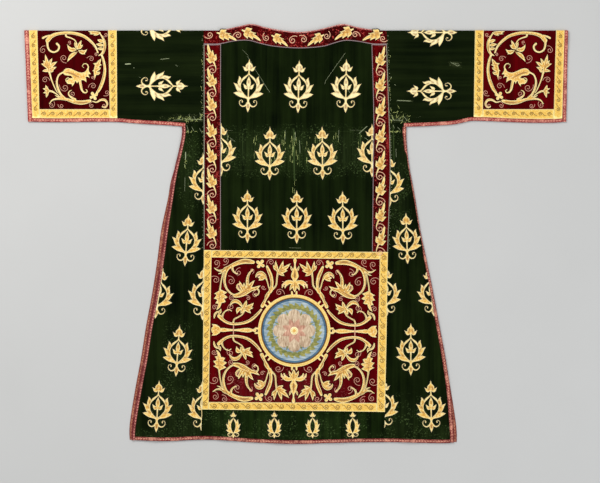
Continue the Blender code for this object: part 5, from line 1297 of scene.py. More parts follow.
NECK_MARKS = [
    (-180, 548, -168, 556, 2.0, 0.6), (-52, 546, -46, 530, 2.2, 0.6), (40, 556, 60, 560, 2.0, 0.5),
]
RUBBED_BAND = 0.013     # just enough for spots without pile
HEM_PATCHES = [
    (-200, -520, 50, 24, 0.05), (-60, -530, 50, 20, 0.06), (120, -530, 80, 22, 0.05),
    (0, -562, 210, 8, 0.07),
]
PALE_FROM, PALE_TO = 100, 360   # palmettes are paler the higher they are, between these heights


def palmettes(node, rows, cut, surface, on, panel):
    """The palmettes of one panel, cut off at its seams, and the cord round them."""
    applique = Applique(surface, VELVET, "green_furrow")
    for x, y, turn, size in rows:
        move = to_place(x, y, turn, size)
        pale = float(np.interp(y, [PALE_FROM, PALE_TO], [0.0, 0.9]))
        if inside(panel, move(cut.places)).all():
            applique.lay(cut, move, pale)
            continue
        loops = trimmed([move(loop) for loop in cut.loops], panel)
        hollows = [(*move(np.array(row[:2])), *move(np.array(row[2:4])), row[4])
                   for row in PALMETTE_HOLLOWS]
        applique.lay(Cut(loops, hollows=hollows), shade=pale, seam=panel)
    # The green shadow piece is painted shadow round the palmettes.
    applique.pieces(on, body=f"{node}_palmettes", cord=f"{node}_palmette_cord",
                    green_furrow=f"{node}_palmette_furrow")


def make_back():
    for side in SIGN:
        cloth(f"back_gore_{side}", GREEN, gore_path(side, "back", BACK_TUCK), back, step=BACK_STEP)
    neck = [(NECK_END, ROLL_Y - GAP), (NECK_END, BACK_NECK_Y - GAP), (-NECK_END, BACK_NECK_Y - GAP),
            (-NECK_END, ROLL_Y - GAP)]
    left_x, right_x = edge_at("seam_left", -565) + GAP, edge_at("seam_right", -570) - GAP
    bottom = level("hem", left_x, right_x, TRIM_WIDTH + SEAM + BACK_TUCK)
    path = joined(upright("seam_left", ROLL_Y - GAP, bottom[0][1], GAP), bottom[1:-1],
                  upright("seam_right", bottom[-1][1], ROLL_Y - GAP, -GAP), neck)
    cloth("back_centre", GREEN, path, back, step=BACK_STEP)


ROLLED_UNDER = [  # y, share of the right front trim that shows, where its edge rolls under
    (-420, 1.0), (-310, 0.95), (-150, 0.75), (-58, 0.6), (-30, 0.3), (221, 0.27), (235, 0.75), (270, 0.8),
    (285, 1.0),
]


def trim_share(y):
    return np.interp(y, *np.array(ROLLED_UNDER).T)


def gore_path(side, layer, tuck):
    """A gore's outline: down the seam, along the hem, up the open side to the underarm."""
    sign = SIGN[side]
    edge, inward = f"{layer}_{side}", -SIGN[side] * (TRIM_WIDTH + SEAM)
    corner_x = edge_at(edge, -572) + inward
    seam_x = edge_at(f"seam_{side}", -570) + sign * GAP
    hem_run = level("hem", seam_x, corner_x, TRIM_WIDTH + SEAM + tuck)
    top = edge_at(f"under_{side}", UNDERARM[side])
    seam_run = upright(f"seam_{side}", GORE_TOP - GAP, hem_run[0][1], sign * GAP)
    side_run = upright(edge, hem_run[-1][1], top, inward)
    if edge == "front_right":
        side_run[:, 0] += (1 - trim_share(side_run[:, 1])) * TRIM_WIDTH
    under_x = sign * UNDERARM[side]
    return joined(seam_run, hem_run[1:-1], side_run, [(under_x, top)],
                  straight((under_x, GORE_TOP - GAP), seam_run[0]))


def make_centre_front(palmette):
    low = {side: apparel_y(APPAREL_OUTER, "top", edge_at(f"band_{side}", -45)) + GAP for side in SIGN}
    high = {side: edge_at("neck_lower", edge_at(f"band_{side}", 531)) - GAP for side in SIGN}
    down = upright("band_left", high["left"], low["left"], GAP)
    up = upright("band_right", low["right"], high["right"], -GAP)
    top = level("neck_lower", up[-1][0], down[0][0], -GAP)
    path = joined(down, straight(down[-1], up[0]), up, top[1:-1])
    made = cloth("front_centre", GREEN, path, front, patches=GREEN_PATCHES, marks=GREEN_MARKS)
    palmettes("front_centre", PALMETTES["front_centre"], palmette, front, made.name, path)


def make_gores(palmette):
    for side in SIGN:
        name = f"front_gore_{side}"
        path = gore_path(side, "front", 0.0)
        made = cloth(name, GREEN, path, front, marks=GORE_MARKS[side],
                     patches=GORE_PATCHES[side])
        palmettes(name, PALMETTES[name], palmette, front, made.name, path)


def make_hem_strip():
    top = {side: apparel_y(APPAREL_OUTER, "bottom", edge_at(f"seam_{side}", -495)) - GAP for side in SIGN}
    left_x, right_x = edge_at("seam_left", -568) + GAP, edge_at("seam_right", -572) - GAP
    bottom = level("hem", left_x, right_x, TRIM_WIDTH + SEAM)
    down = upright("seam_left", top["left"], bottom[0][1], GAP)
    up = upright("seam_right", bottom[-1][1], top["right"], -GAP)
    path = joined(down, bottom[1:-1], up, straight(up[-1], down[0]))
    made = cloth("front_hem_strip", GREEN_WORN, path, front, patches=HEM_PATCHES)
    cut = sprig_cut()
    applique = Applique(front, VELVET, "green_furrow")
    for x in HEM_SPRIGS:
        applique.lay(cut, to_place(x, HEM_SPRIG_Y))
    # The green shadow piece is painted shadow round the sprigs.
    applique.pieces(made.name, green_furrow="hem_sprig_furrow", body="hem_sprigs", cord="hem_sprig_cord")


def vine(rows, leaf_cut, curls, on, name):
    """Leaves of a running vine on a band, and its tendrils."""
    applique = Applique(front, BRAID, "red_furrow")
    for row in rows:
        applique.lay(leaf_cut, to_place(*row))
    for path in curls:
        applique.line("band_tendrils", path, 1.1, 0.7)
    # The red shadow piece is painted shadow round the vine's leaves.
    applique.pieces(on, body=f"{name}_leaves", cord=f"{name}_leaf_cord", band_tendrils=f"{name}_tendrils",
                    red_furrow=f"{name}_furrow")


def make_orphreys():
    """The two upright bands between the neck band and the apparel."""
    leaf_cut = Cut(united([outline(VINE_LEAF) * VINE_SLIM, slimmed(VINE_STEM, 0.9)]), 2.6, VINE_HOLLOWS)
    curls = [smooth_run(VINE_CURL, 1.8), smooth_run(VINE_ARC, 2.0)]
    for side, sign in SIGN.items():
        name, seam, band = f"orphrey_{side}", f"seam_{side}", f"band_{side}"

        def ends_at(y):
            return edge_at(seam, y) - sign * GAP, edge_at(band, y) + sign * GAP

        outer_low, inner_low = [apparel_y(APPAREL_OUTER, "top", x) + GAP for x in ends_at(-45)]
        top_run = level("neck_lower", *ends_at(BAND_TOP), -GAP)
        out_run = upright(seam, outer_low, top_run[0][1], -sign * GAP)
        in_run = upright(band, top_run[-1][1], inner_low, sign * GAP)
        made = cloth(name, RED_BAND, joined(out_run, top_run[1:-1], in_run), front, BRAID,
                     marks=BAND_MARKS[side],
                     patches=[(sign * 238, 240, 60, 360, RUBBED_BAND)])
        rows = [(VINE_ROOT_X[side], top - VINE_DROP, 0, 1.0, -sign) for top in VINE_TOPS[side]]
        vine(rows, leaf_cut, [to_place(*row)(path) for row in rows for path in curls], made.name, name)
        pale, edging = Work(), Work()
        cord(pale, out_run - (sign * 0.8, 0), 1.2, front, BRAID + SEAM_LIFT, flat=0.8)
        pale.piece(f"{name}_outer_edging", PALE_SEAM, "galloon", on=made.name)
        cord(edging, in_run + (sign * 0.8, 0), 1.0, front, BRAID + SEAM_LIFT)
        cord(edging, top_run - (0, 1.0), 1.2, front, BRAID + SEAM_LIFT)
        edging.piece(f"{name}_edging", SEAM_CORD, "galloon", on=made.name)


def make_neck_band():
    edge = NECK_END + GAP
    top = level("neck_top", -NECK_END, NECK_END, -PIPING - SEAM)
    left_x, right_x = edge_at("seam_left", BAND_TOP) + GAP, edge_at("seam_right", BAND_TOP) - GAP
    low = level("neck_lower", right_x, left_x, GAP)
    path = joined([(edge_at("seam_left", ROLL_Y) + GAP, ROLL_Y - GAP), (-edge, ROLL_Y - GAP)], top,
                  [(edge, ROLL_Y - GAP), (edge_at("seam_right", ROLL_Y) - GAP, ROLL_Y - GAP)], low)
    made = cloth("neck_band", RED_BAND, path, front, BRAID, marks=NECK_MARKS,
                 patches=[(0, 556, 320, 60, RUBBED_BAND)])
    leaf_cut = Cut(united([outline(VINE_LEAF) * VINE_SLIM, slimmed(VINE_STEM[:2], 0.9)]), 2.6, VINE_HOLLOWS)
    vine(NECK_LEAVES, leaf_cut, [curl(*row) for row in NECK_CURLS], made.name, "neck_band")
    edging = Work()
    cord(edging, low + (0, 1.0), 1.2, front, BRAID + SEAM_LIFT)
    edging.piece("neck_band_edging", SEAM_CORD, "galloon", on=made.name)

    for side, sign in SIGN.items():
        rows = np.linspace(ROLL_Y + GAP, ROLL_Y + ROLL_ARC - GAP, 9)
        ends = sorted((edge_at(f"seam_{side}", FOLD_Y) - sign * GAP, sign * (edge + GAP)))
        path = joined([(ends[0], v) for v in rows[::-1]], straight((ends[0], rows[0]), (ends[1], rows[0])),
                      [(ends[1], v) for v in rows], straight((ends[1], rows[-1]), (ends[0], rows[-1])))
        cloth(f"shoulder_piece_{side}", RED_BAND, path, folded,
              rows=rows[1:-1])


def frame_strip(node, path, surface, on, wall=BRAID, rows=None):
    """One gold strip of a frame."""
    places, faces = sheet_mesh(path, rows)
    x, y = places.T
    inset = away_from([path], places)
    work = Work()
    shell(work, places, faces, surface(x, y, wall - 0.5 * np.exp(-inset / 1.2)), surface(x, y, 0.0 * x),
          inset=inset, warm=np.zeros(len(x)))
    work.piece(f"{node}_strip", FRAME_GOLD, "gold", [node], on=on)


def running_wave(work, start, stop, surface, pitch=31.0, radius=6.9, hand=1):
    """Couched spirals that run along a strip, each linked to the next by a slanting line."""
    start, stop = np.array(start, float), np.array(stop, float)
    length = np.hypot(*(stop - start))
    along = (stop - start) / length
    aside = np.array([-along[1], along[0]])
    count = max(1, round(length / pitch))
    pitch = length / count
    t = np.linspace(0, 1, 30)
    spiral = polar(0, 0, radius * (1 - 0.74 * t ** 1.1), np.pi * (0.8 - 2.9 * t))
    lead = np.array([(-0.62, -0.95), (-0.45, -0.75), (-0.3, -0.2)]) * (pitch, radius)
    whole = smooth_run(np.vstack([lead, spiral]), 2.4)
    for k in range(count):
        first = whole if k else whole[whole[:, 0] > -pitch * 0.4]
        route = first + ((k + 0.5) * pitch, 0)
        places = start + route[:, :1] * along + hand * route[:, 1:] * aside
        cord(work, places, WAVE_CORD, surface, BRAID + COUCHED_DEEP, sides=4)


def strip_edging(work, runs, surface):
    for run in runs:
        cord(work, run, COUCHED, surface, BRAID + COUCHED_DEEP, sides=5)


def make_skirt_apparel():
    corners = []
    for edge, side in (("top", "left"), ("bottom", "left"), ("bottom", "right"), ("top", "right")):
        x, y = APPAREL_INNER[f"{edge}_{side}"]
        corners.append((x - SIGN[side] * GAP, y + (-GAP if edge == "top" else GAP)))
    path = joined(*[straight(corners[i - 1], corners[i]) for i in range(4)])
    field = cloth("skirt_apparel", RED, path, front,
                  patches=[(-30, -440, 160, 50, 0.10)])
    on = field.name

    waves, edging = Work(), Work()
    for side, sign in SIGN.items():
        def rows_at(x):
            return apparel_y(APPAREL_OUTER, "top", x) - GAP, apparel_y(APPAREL_OUTER, "bottom", x) + GAP

        out_run = upright(f"seam_{side}", *rows_at(edge_at(f"seam_{side}", ROUNDEL["y"])), -sign * GAP)
        top, bottom = rows_at(field_side(side, ROUNDEL["y"]))
        in_run = straight(*[(field_side(side, y) + sign * GAP, y) for y in (bottom, top)])
        path = joined(out_run, in_run)
        frame_strip(f"skirt_frame_{side}", path if side == "left" else path[::-1], front, on)
        middle_top, middle_low = (out_run[0] + in_run[-1]) / 2, (out_run[-1] + in_run[0]) / 2
        running_wave(waves, middle_top, middle_low, front, hand=sign)
        aside = (sign * EDGING_IN, 0)
        strip_edging(edging, [out_run - aside, in_run + aside], front)
    for edge, move in (("top", -GAP), ("bottom", GAP)):
        def run_of(outline_corners, shift):
            ends = [field_side(side, outline_corners[f"{edge}_{side}"][1]) - sign * GAP
                    for side, sign in SIGN.items()]
            xs = spaced(*ends)
            return np.column_stack([xs, apparel_y(outline_corners, edge, xs) + shift])

        out_run, in_run = run_of(APPAREL_OUTER, move), run_of(APPAREL_INNER, -move)
        frame_strip(f"skirt_frame_{edge}", joined(out_run, in_run[::-1]), front, on)
        running_wave(waves, (out_run[0] + in_run[0]) / 2, (out_run[-1] + in_run[-1]) / 2, front,
                     hand=1 if edge == "top" else -1)
        aside = (0, EDGING_IN if edge == "bottom" else -EDGING_IN)
        strip_edging(edging, [out_run + aside, in_run - aside], front)
    waves.piece("skirt_frame_waves", BROWN_CORD, "gold", on=on)
    edging.piece("skirt_frame_edging", EDGE_CORD, "gold", on=on)

    make_skirt_scrolls(on)
    make_roundel(on)


def make_skirt_scrolls(on):
    """Four quarters of scrollwork, the lilies above and below, and the spindles at the sides."""
    quarter_cut = Cut(united(scroll_shapes(SKIRT_STEMS, SKIRT_LEAVES, 0.9, 0.9)
                             + [blossom(*SKIRT_BLOSSOM), outline(SKIRT_SPRAY)]))
    axis_cut = Cut(united(scroll_shapes(SKIRT_AXIS_STEMS, SKIRT_AXIS)[::-1]))
    spindle = [stem(SKIRT_SPINDLE), circle(*SKIRT_SPINDLE_BALL, 20), stem(SKIRT_TULIP)]
    spindle_cut = Cut(united(spindle + [leaf(*row) for row in TULIP_LEAVES]))
    slit_cuts = [Cut([stem(rows, 2.0)], step=2.0) for rows in SKIRT_SLITS + SPRAY_VEINS]
    tilt = math.degrees(math.atan2(APPAREL_OUTER["top_right"][1] - APPAREL_OUTER["top_left"][1],
                                   APPAREL_OUTER["top_right"][0] - APPAREL_OUTER["top_left"][0]))

    def placing(*flips):
        return lambda points: turned(points * flips, ROUNDEL["x"], ROUNDEL["y"], tilt)

    veins = vein_paths(SKIRT_LEAVES, SKIRT_STEMS.values())
    axis_veins = vein_paths(SKIRT_AXIS, ())
    applique = Applique(front, VELVET, "red_furrow")
    for flip_y in (1, -1):
        move = placing(1, flip_y)
        applique.lay(axis_cut, move)
        for path in axis_veins:
            applique.line("veins", move(path), 0.65, VEIN_LIFT, 4)
        for flip_x in (-1, 1):
            move = placing(flip_x, flip_y)
            applique.lay(quarter_cut, move)
            for row in SKIRT_CURLS:
                applique.line("tendrils", move(curl(*row)), 0.75, TENDRIL_LIFT, 5)
            for path in veins:
                applique.line("veins", move(path), 0.7, VEIN_LIFT, 4, 4.0)
            for cut in slit_cuts:
                applique.slit(cut, move)
    for flip_x in (-1, 1):
        move = placing(flip_x, 1)
        applique.lay(spindle_cut, move)
        applique.line("tendrils", move(straight((170, -13), (170, 13), 2.0)), 1.4, 1.2, taper=0.0)
    # The red shadow piece is painted shadow round the scrollwork.
    applique.pieces(on, body="skirt_scrollwork", cord="skirt_scroll_cord", tendrils="skirt_tendrils",
                    slits="skirt_scroll_slits", veins="skirt_scroll_veins",
                    red_furrow="skirt_scroll_furrow")


def make_ring(on, move):
    """The gold ring with pairs of tabs."""
    outer, inner = ROUNDEL["ring"], ROUNDEL["picture"]
    tabs = []
    for k in range(8):
        for lean in (-0.06, 0.06):
            way = np.array([math.cos(k * math.pi / 4 + lean), math.sin(k * math.pi / 4 + lean)])
            tabs.append(stem([(*(way * (outer - 4)), 6.0), (*(way * (outer + ROUNDEL["tab"])), 4.5)]))
    ring = Cut(united([circle(0, 0, outer)] + tabs, [circle(0, 0, inner)]))
    band, cords, line = Work(), Work(), Work()
    ring.lay(band, front, VELVET + SEAM, 1.9, move=move)
    ring.edge(cords, front, VELVET + SEAM, lift=1.3, move=move)
    cord(line, move(circle(0, 0, inner + 1.4)), 1.9, front, VELVET + 1.3, closed=True)
    cord(cords, move(circle(0, 0, inner + 5.6)), 0.9, front, VELVET + 2.0, closed=True)
    band.piece("roundel_ring_band", FRAME_GOLD, "gold", ["roundel_ring"], on=on)
    cords.piece("roundel_ring_cord", EDGE_CORD, "gold", on=on)
    line.piece("roundel_ring_line", BROWN_CORD, "gold", on=on)


def make_roundel(on):
    """The ring and, in it, a plain rosette in a wreath of leaves."""
    cx, cy = ROUNDEL["x"], ROUNDEL["y"]
    move = to_place(cx, cy)
    make_ring(on, move)
    base = VELVET + SEAM
    grounds = {
        "ground": ([circle(0, 0, ROUNDEL["picture"] - 0.2)], 4.0, base, 1.1, SKY_SILK, ["roundel"]),
        "rim": ([circle(0, 0, 89.4), circle(0, 0, 84.5)[::-1]], 3.5, base + 0.9, 0.5, RIM_SILK, []),
    }
    for name, (loops, step, wall, height, finish, nodes) in grounds.items():
        work = Work()
        Cut(loops, step).lay(work, front, wall, height, move)
        work.piece(f"roundel_{name}", finish, "silk", nodes, on=on)

    leaves, petals, inner, gold = Work(), Work(), Work(), Work()
    wreath_leaf = Cut([leaf(0, 0, 0, 24, 12.5, 1.5)], step=2.4)
    for k in range(WREATH_LEAVES):
        for lean, reach, late, shade in ((38, 65, 0, 0.0), (-38, 71.5, 0.5, 0.5)):
            angle = 360 / WREATH_LEAVES * (k + late)
            place = (cx + reach * math.cos(math.radians(angle)), cy + reach * math.sin(math.radians(angle)))
            wreath_leaf.lay(leaves, front, base + 1.0, 0.7, to_place(*place, angle - lean, 0.82), shade)
    petal = Cut([outline(both_sides(ROSETTE_PETAL), 3.0)], step=3.0)
    small = Cut([leaf(0, 6, 0, 36, 15.0)], step=2.6)
    sepal = Cut([leaf(0, 16, 0, 60, 8.0)], step=2.4)
    for turn in range(0, 360, 45):
        on_petal, between = to_place(cx, cy, turn), to_place(cx, cy, turn + 22.5)
        sepal.lay(leaves, front, base + 1.1, 0.8, between, 0.3)
        petal.lay(petals, front, base + 1.0, 1.4, on_petal)
        small.lay(inner, front, base + 2.0, 1.0, between)
    Cut([circle(0, 0, 11, 40)], step=2.6).lay(gold, front, base + 2.2, 1.6, move)
    for k in range(8):
        place = (cx + 6.6 * math.cos(k * math.pi / 4), cy + 6.6 * math.sin(k * math.pi / 4))
        cord(gold, circle(*place, 1.7, 10), 0.7, front, base + 3.9, closed=True, sides=5)
    leaves.piece("roundel_wreath", LEAF_SILK, "silk", on=on)
    petals.piece("roundel_petals", CREAM_SILK, "silk", on=on)
    inner.piece("roundel_inner_petals", PEACH_SILK, "silk", on=on)
    gold.piece("roundel_button", GOLD, "gold", on=on)


def fold_rows(low, low_back, back_step=BACK_STEP):
    """Places along a folded piece: up the front, round the roll, down the back."""
    rolling = np.linspace(ROLL_Y - 6, ROLL_Y + ROLL_ARC + 3, 12)
    down = spaced(unrolled(ROLL_Y - 3), unrolled(low_back), back_step)
    return np.concatenate([spaced(low, ROLL_Y - 6)[:-1], rolling[:-1], down])


def folded_path(side, outer_name, inner_line, low):
    """Outline of a piece over the shoulder fold, between two lines across the sleeve, with v for y."""
    sign = SIGN[side]

    def outer_line(y):
        return sleeve_line(side, outer_name, y) - sign * GAP

    def inner(y):
        return inner_line(y) + sign * GAP

    outer_x = outer_line(low(abs(outer_line(SLEEVE_LINE_BOTTOM))))
    inner_x = inner(low(abs(inner(SLEEVE_LINE_BOTTOM))))
    floor = max(low(abs(outer_x)), low(abs(inner_x)))
    rows = fold_rows(floor + 7, floor + 30)
    out_run = np.column_stack([outer_line(rolled_back(rows)), rows])
    in_run = np.column_stack([inner(rolled_back(rows)), rows])
    distances = spaced(abs(outer_x), abs(inner_x))
    if abs(inner_x) < UNDERARM[side]:
        distances = np.concatenate([spaced(abs(outer_x), UNDERARM[side] + 0.1),
                                    spaced(UNDERARM[side] - 0.1, abs(inner_x))])
    lows = np.array([low(d) for d in distances])
    front_end = np.column_stack([sign * distances, lows])
    back_end = np.column_stack([sign * distances, unrolled(lows + BACK_TUCK)])
    path = joined(front_end, in_run, back_end[::-1], out_run[::-1])
    return path, rows, out_run, in_run


def sleeve_low(side, distance):
    """Where a sleeve's cloth ends, over the trim of its underside or over the gore."""
    if distance < UNDERARM[side]:
        return GORE_TOP + GAP
    return float(edge_at(f"under_{side}", distance)) + TRIM_WIDTH + SEAM


def make_sleeves(palmette):
    for side, sign in SIGN.items():
        def low(distance, side=side):
            return sleeve_low(side, distance)

        def line(name, side=side):
            return lambda y: sleeve_line(side, name, y)

        path, rows, _, _ = folded_path(side, "end", lambda y, side=side: edge_at(f"seam_{side}", y), low)
        made = cloth(f"sleeve_{side}", GREEN_ACROSS, path, folded, rows=rows[1:-1],
                     patches=SLEEVE_PATCHES[side], marks=SLEEVE_MARKS[side])
        rows = [(sign * d, y, sign * 90, size) for d, y, size in SLEEVE_PALMETTES[side]]
        palmettes(f"sleeve_{side}", rows, palmette, folded, made.name, path)

        path, rows, _, _ = folded_path(side, "frame", line("inner"), lambda _: SLEEVE_FIELD_BOTTOM + GAP)
        finish = RED_DARK if side == "left" else RED
        field = cloth(f"sleeve_apparel_{side}", finish, path, folded, rows=rows[1:-1])
        waves, edging = Work(), Work()
        frames = (("inner_frame", "inner", "end"), ("cuff_frame", "trim", "frame"))
        for node, outer_name, inner_name in frames:
            path, rows, out_run, in_run = folded_path(side, outer_name, line(inner_name), low)
            frame_strip(f"sleeve_{node}_{side}", path, folded, field.name, rows=rows[1:-1])
            middle = (out_run + in_run)[rows <= ROLL_Y] / 2
            running_wave(waves, middle[-1], middle[0] + (0, 6), folded, *SLEEVE_WAVE, sign)
            visible, aside = rows < ROLL_Y + ROLL_ARC, (sign * EDGING_IN, 0)
            strip_edging(edging, [out_run[visible] - aside, in_run[visible] + aside], folded)
        make_under_frames(side, waves, edging, field.name)
        waves.piece(f"sleeve_frame_waves_{side}", BROWN_CORD, "gold", on=field.name)
        edging.piece(f"sleeve_frame_edging_{side}", EDGE_CORD, "gold", on=field.name)
        make_sleeve_scrolls(side, field.name)


def make_under_frames(side, waves, edging, on):
    """The frame strips along a sleeve's underside, on the front and on the back."""
    sign = SIGN[side]

    def ends_at(y):
        return abs(sleeve_line(side, "frame", y)) - GAP, abs(sleeve_line(side, "inner", y)) + GAP

    for layer, surface, wall, tuck in (("front", front, BRAID, 0.0), ("back", back, VELVET, BACK_TUCK)):
        high = SLEEVE_FIELD_BOTTOM - GAP + tuck
        low_ends = [ends_at(sleeve_low(side, x))[i] for i, x in enumerate(ends_at(high))]
        ds = spaced(*low_ends)
        run_low = np.column_stack([sign * ds, [sleeve_low(side, d) + tuck for d in ds]])
        ds = spaced(*ends_at(high)[::-1])
        run_high = np.column_stack([sign * ds, np.full(len(ds), high)])
        frame_strip(f"sleeve_under_frame_{layer}_{side}", joined(run_low, run_high), surface, on, wall)
        if layer == "front":
            ends = (run_low[0] + run_high[-1]) / 2, (run_low[-1] + run_high[0]) / 2
            running_wave(waves, *ends, front, *SLEEVE_WAVE, -sign)
            aside = (0, EDGING_IN)
            strip_edging(edging, [run_low + aside, run_high - aside], front)


def make_sleeve_scrolls(side, on):
    middle = (sleeve_line(side, "frame", 450) + sleeve_line(side, "inner", 450)) / 2
    shapes = scroll_shapes(SLEEVE_STEMS, SLEEVE_LEAVES, 0.72, 0.8)
    scroll_cut = Cut(united(shapes + [blossom(*SLEEVE_BLOSSOM), outline(SLEEVE_FLOWER)]))
    move = to_place(middle, SLEEVE_FIELD_BOTTOM, flip=-SIGN[side])
    applique = Applique(folded, VELVET, "red_furrow")
    applique.lay(scroll_cut, move)
    for row in SLEEVE_CURLS:
        applique.line("tendrils", move(curl(*row)), 0.72, TENDRIL_LIFT, 5)
    for vein in vein_paths(SLEEVE_LEAVES, SLEEVE_STEMS.values()):
        applique.line("veins", move(vein), 0.5, VEIN_LIFT, 4, 4.0)
    for rows in SLEEVE_SLITS:
        applique.slit(Cut([stem(rows, 2.0)], step=2.0), move)
    # The red shadow piece is painted shadow round the sleeve's scrollwork.
    applique.pieces(on, veins=f"sleeve_scroll_veins_{side}", body=f"sleeve_scrollwork_{side}",
                    cord=f"sleeve_scroll_cord_{side}", tendrils=f"sleeve_tendrils_{side}",
                    slits=f"sleeve_scroll_slits_{side}", red_furrow=f"sleeve_scroll_furrow_{side}")


GALLOON_SECTION = [  # across as a share of the half width, height as a share of the crown
    (-1.0, 0.0), (1.0, 0.0), (1.0, 0.55), (0.86, 0.78), (0.55, 0.80), (0.34, 0.74), (0.16, 1.0),
    (-0.16, 1.0), (-0.34, 0.74), (-0.55, 0.80), (-0.86, 0.78), (-1.0, 0.55),
]


def galloon(node, path, surface, on, width=TRIM_WIDTH, height=FRONT_CROWN, finish=TRIM, picot=0.45,
            rolled=False):
    """A length of woven galloon along a path, its selvages slightly scalloped."""
    path = np.asarray(path, float)
    gaps = np.hypot(*np.diff(path, axis=0).T)
    run = np.concatenate([[0], np.cumsum(gaps)])
    at = np.linspace(0, run[-1], max(2, int(run[-1] / 2.6)))
    path = np.column_stack([np.interp(at, run, path[:, 0]), np.interp(at, run, path[:, 1])])
    shape = np.array(GALLOON_SECTION)
    section = shape * (width / 2, height)
    if rolled:
        share = trim_share(path[:, 1])[:, None]
        section = np.stack([(section[:, 0] - width / 2) * share + width / 2,
                            np.broadcast_to(section[:, 1], (len(path), len(section)))], axis=-1)

    def wave(distance, across, h):
        ripple = np.sin(2 * np.pi * distance / 5.2)
        selvage = np.abs(across) > 0.4 * width
        return across * (1 + picot / width * ripple * selvage), h * (1 + 0.06 * ripple)

    work = Work()
    sweep(work, path, section, surface, around=shape[:, 0], wave=wave)
    work.piece(f"{node}_braid", finish, "galloon", [node], on=on, angle=70)


def make_trims():
    inner = TRIM_WIDTH / 2
    finishes = {("front", "left"): SIDE_TRIM, ("front", "right"): TRIM, ("back", "left"): FADED_TRIM,
                ("back", "right"): FADED_TRIM}
    layers = (("front", front, 0.0, FRONT_CROWN), ("back", back, BACK_TUCK, BACK_CROWN))

    for side, sign in SIGN.items():
        under, cuff_y = f"under_{side}", edge_at(f"under_{side}", 750)
        rows = fold_rows(cuff_y, cuff_y + BACK_TUCK, 12.0)
        outer = np.column_stack([sleeve_line(side, "cuff", rolled_back(rows)), rows])
        inside_run = np.column_stack([sleeve_line(side, "trim", rolled_back(rows)) + sign * GAP, rows])
        width = float(np.abs(outer - inside_run)[:, 0].mean())
        galloon(f"cuff_trim_{side}", (outer + inside_run) / 2, folded, f"sleeve_apparel_{side}_cloth",
                width, finish=PINK_TRIM)
        for layer, surface, tuck, crown in layers:
            distances = spaced(UNDERARM[side] + SEAM, abs(sleeve_line(side, "trim", cuff_y)) - GAP)
            path = np.column_stack([sign * distances, edge_at(under, distances) + tuck + inner])
            galloon(f"sleeve_trim_{layer}_{side}", path, surface, f"sleeve_{side}_cloth", height=crown,
                    finish=PINK_TRIM)
            ys = spaced(edge_at(under, UNDERARM[side]) - SEAM, edge_at("hem", sign * 455) + tuck)
            path = np.column_stack([edge_at(f"{layer}_{side}", ys) - sign * inner, ys])
            galloon(f"side_trim_{layer}_{side}", path, surface, f"{layer}_gore_{side}_cloth", height=crown,
                    finish=finishes[layer, side], rolled=(layer, side) == ("front", "right"))
    for layer, surface, tuck, crown in layers:
        left = max(edge_at(f"{layer}_left", y) for y in (-568, -588)) + TRIM_WIDTH + SEAM
        right = min(edge_at(f"{layer}_right", y) for y in (-568, -588)) - TRIM_WIDTH - SEAM
        on = "front_hem_strip_cloth" if layer == "front" else "back_centre_cloth"
        galloon(f"hem_trim_{layer}", level("hem", left, right, tuck + inner), surface, on, height=crown)
    galloon("neck_piping_front", level("neck_top", -NECK_END, NECK_END, -PIPING / 2), front,
            "neck_band_cloth", PIPING, 3.0, PIPED, 0.2)
    back_y = BACK_NECK_Y + PIPING / 2 + GAP
    galloon("neck_piping_back", straight((-NECK_END + SEAM, back_y), (NECK_END - SEAM, back_y)), back,
            "back_centre_cloth", PIPING - SEAM, BACK_CROWN, PIPED, 0.2)


THREADS = {  # x0, y0, x1, y1, half thickness
    "front_centre": [(-136, 498, -72.5, 397, 0.36), (139, 508, 84, 431, 0.34), (84, 431, 80, 420, 0.3),
        (-134, 500, -150, 515, 0.25), (176, 281, 200, 303, 0.8), (192, 270, 204, 262, 0.5),
        (-196, 296, -190, 262, 0.5), (-186, 270, -170, 258, 0.4), (-2, 286, -2, 262, 0.7),
        (10, 262, 11, 226, 0.6), (-70, 292, -68, 268, 0.4), (-30, 290, -31, 262, 0.4),
        (74, 290, 75, 266, 0.4), (120, 292, 119, 262, 0.4), (-194, 290, -176, 290.5, 0.16),
        (150, 291, 190, 292, 0.16), (-198, 178, -186, 178.5, 0.3), (78, 210, 80, 188, 0.4),
        (-56, 214, -57, 190, 0.4), (146, 404, 150, 396, 0.5), (-20, -38, 14, -39, 0.3)],
    "sleeve_left": [(-479, 475.5, -462, 477, 1.6), (-380, 489, -355, 490.5, 0.7),
        (-456, 466, -452, 465, 0.7), (-312, 322, -262, 320.5, 0.6), (-346, 318, -318, 321, 0.5),
        (-300, 335, -292, 318, 0.5), (-286, 330, -281, 318, 0.5), (-330, 326, -322, 318, 0.4),
        (-350, 322, -362, 314, 0.4), (-270, 340, -266, 322, 0.4), (-338, 474, -330, 470, 0.4),
        (-440, 440, -436, 438, 0.4)],
    "front_gore_left": [(-306, 304, -300, 284, 0.5), (-292, 300, -286, 288, 0.5),
        (-309, 230, -310, 208, 1.1), (-311, 196, -311, 186, 0.6), (-270, 296, -263, 282, 0.4),
        (-311, 160, -312, 120, 0.35)],
    "sleeve_right": [(283, 374, 322, 373, 0.9), (262, 320, 300, 318, 0.6), (268, 330, 272, 320, 0.5),
        (433, 481, 452, 470, 0.5), (452, 470, 458, 474, 0.8), (440, 479, 456, 476, 0.4),
        (266, 440, 268, 436, 0.9), (276, 419, 279, 416, 0.8), (300, 330, 312, 318, 0.5),
        (330, 322, 350, 330, 0.4), (286, 326, 290, 316, 0.4)],
    "front_gore_right": [(272, 306, 276, 296, 0.5), (284, 300, 292, 290, 0.4), (280, 240, 281, 215, 0.4)],
}
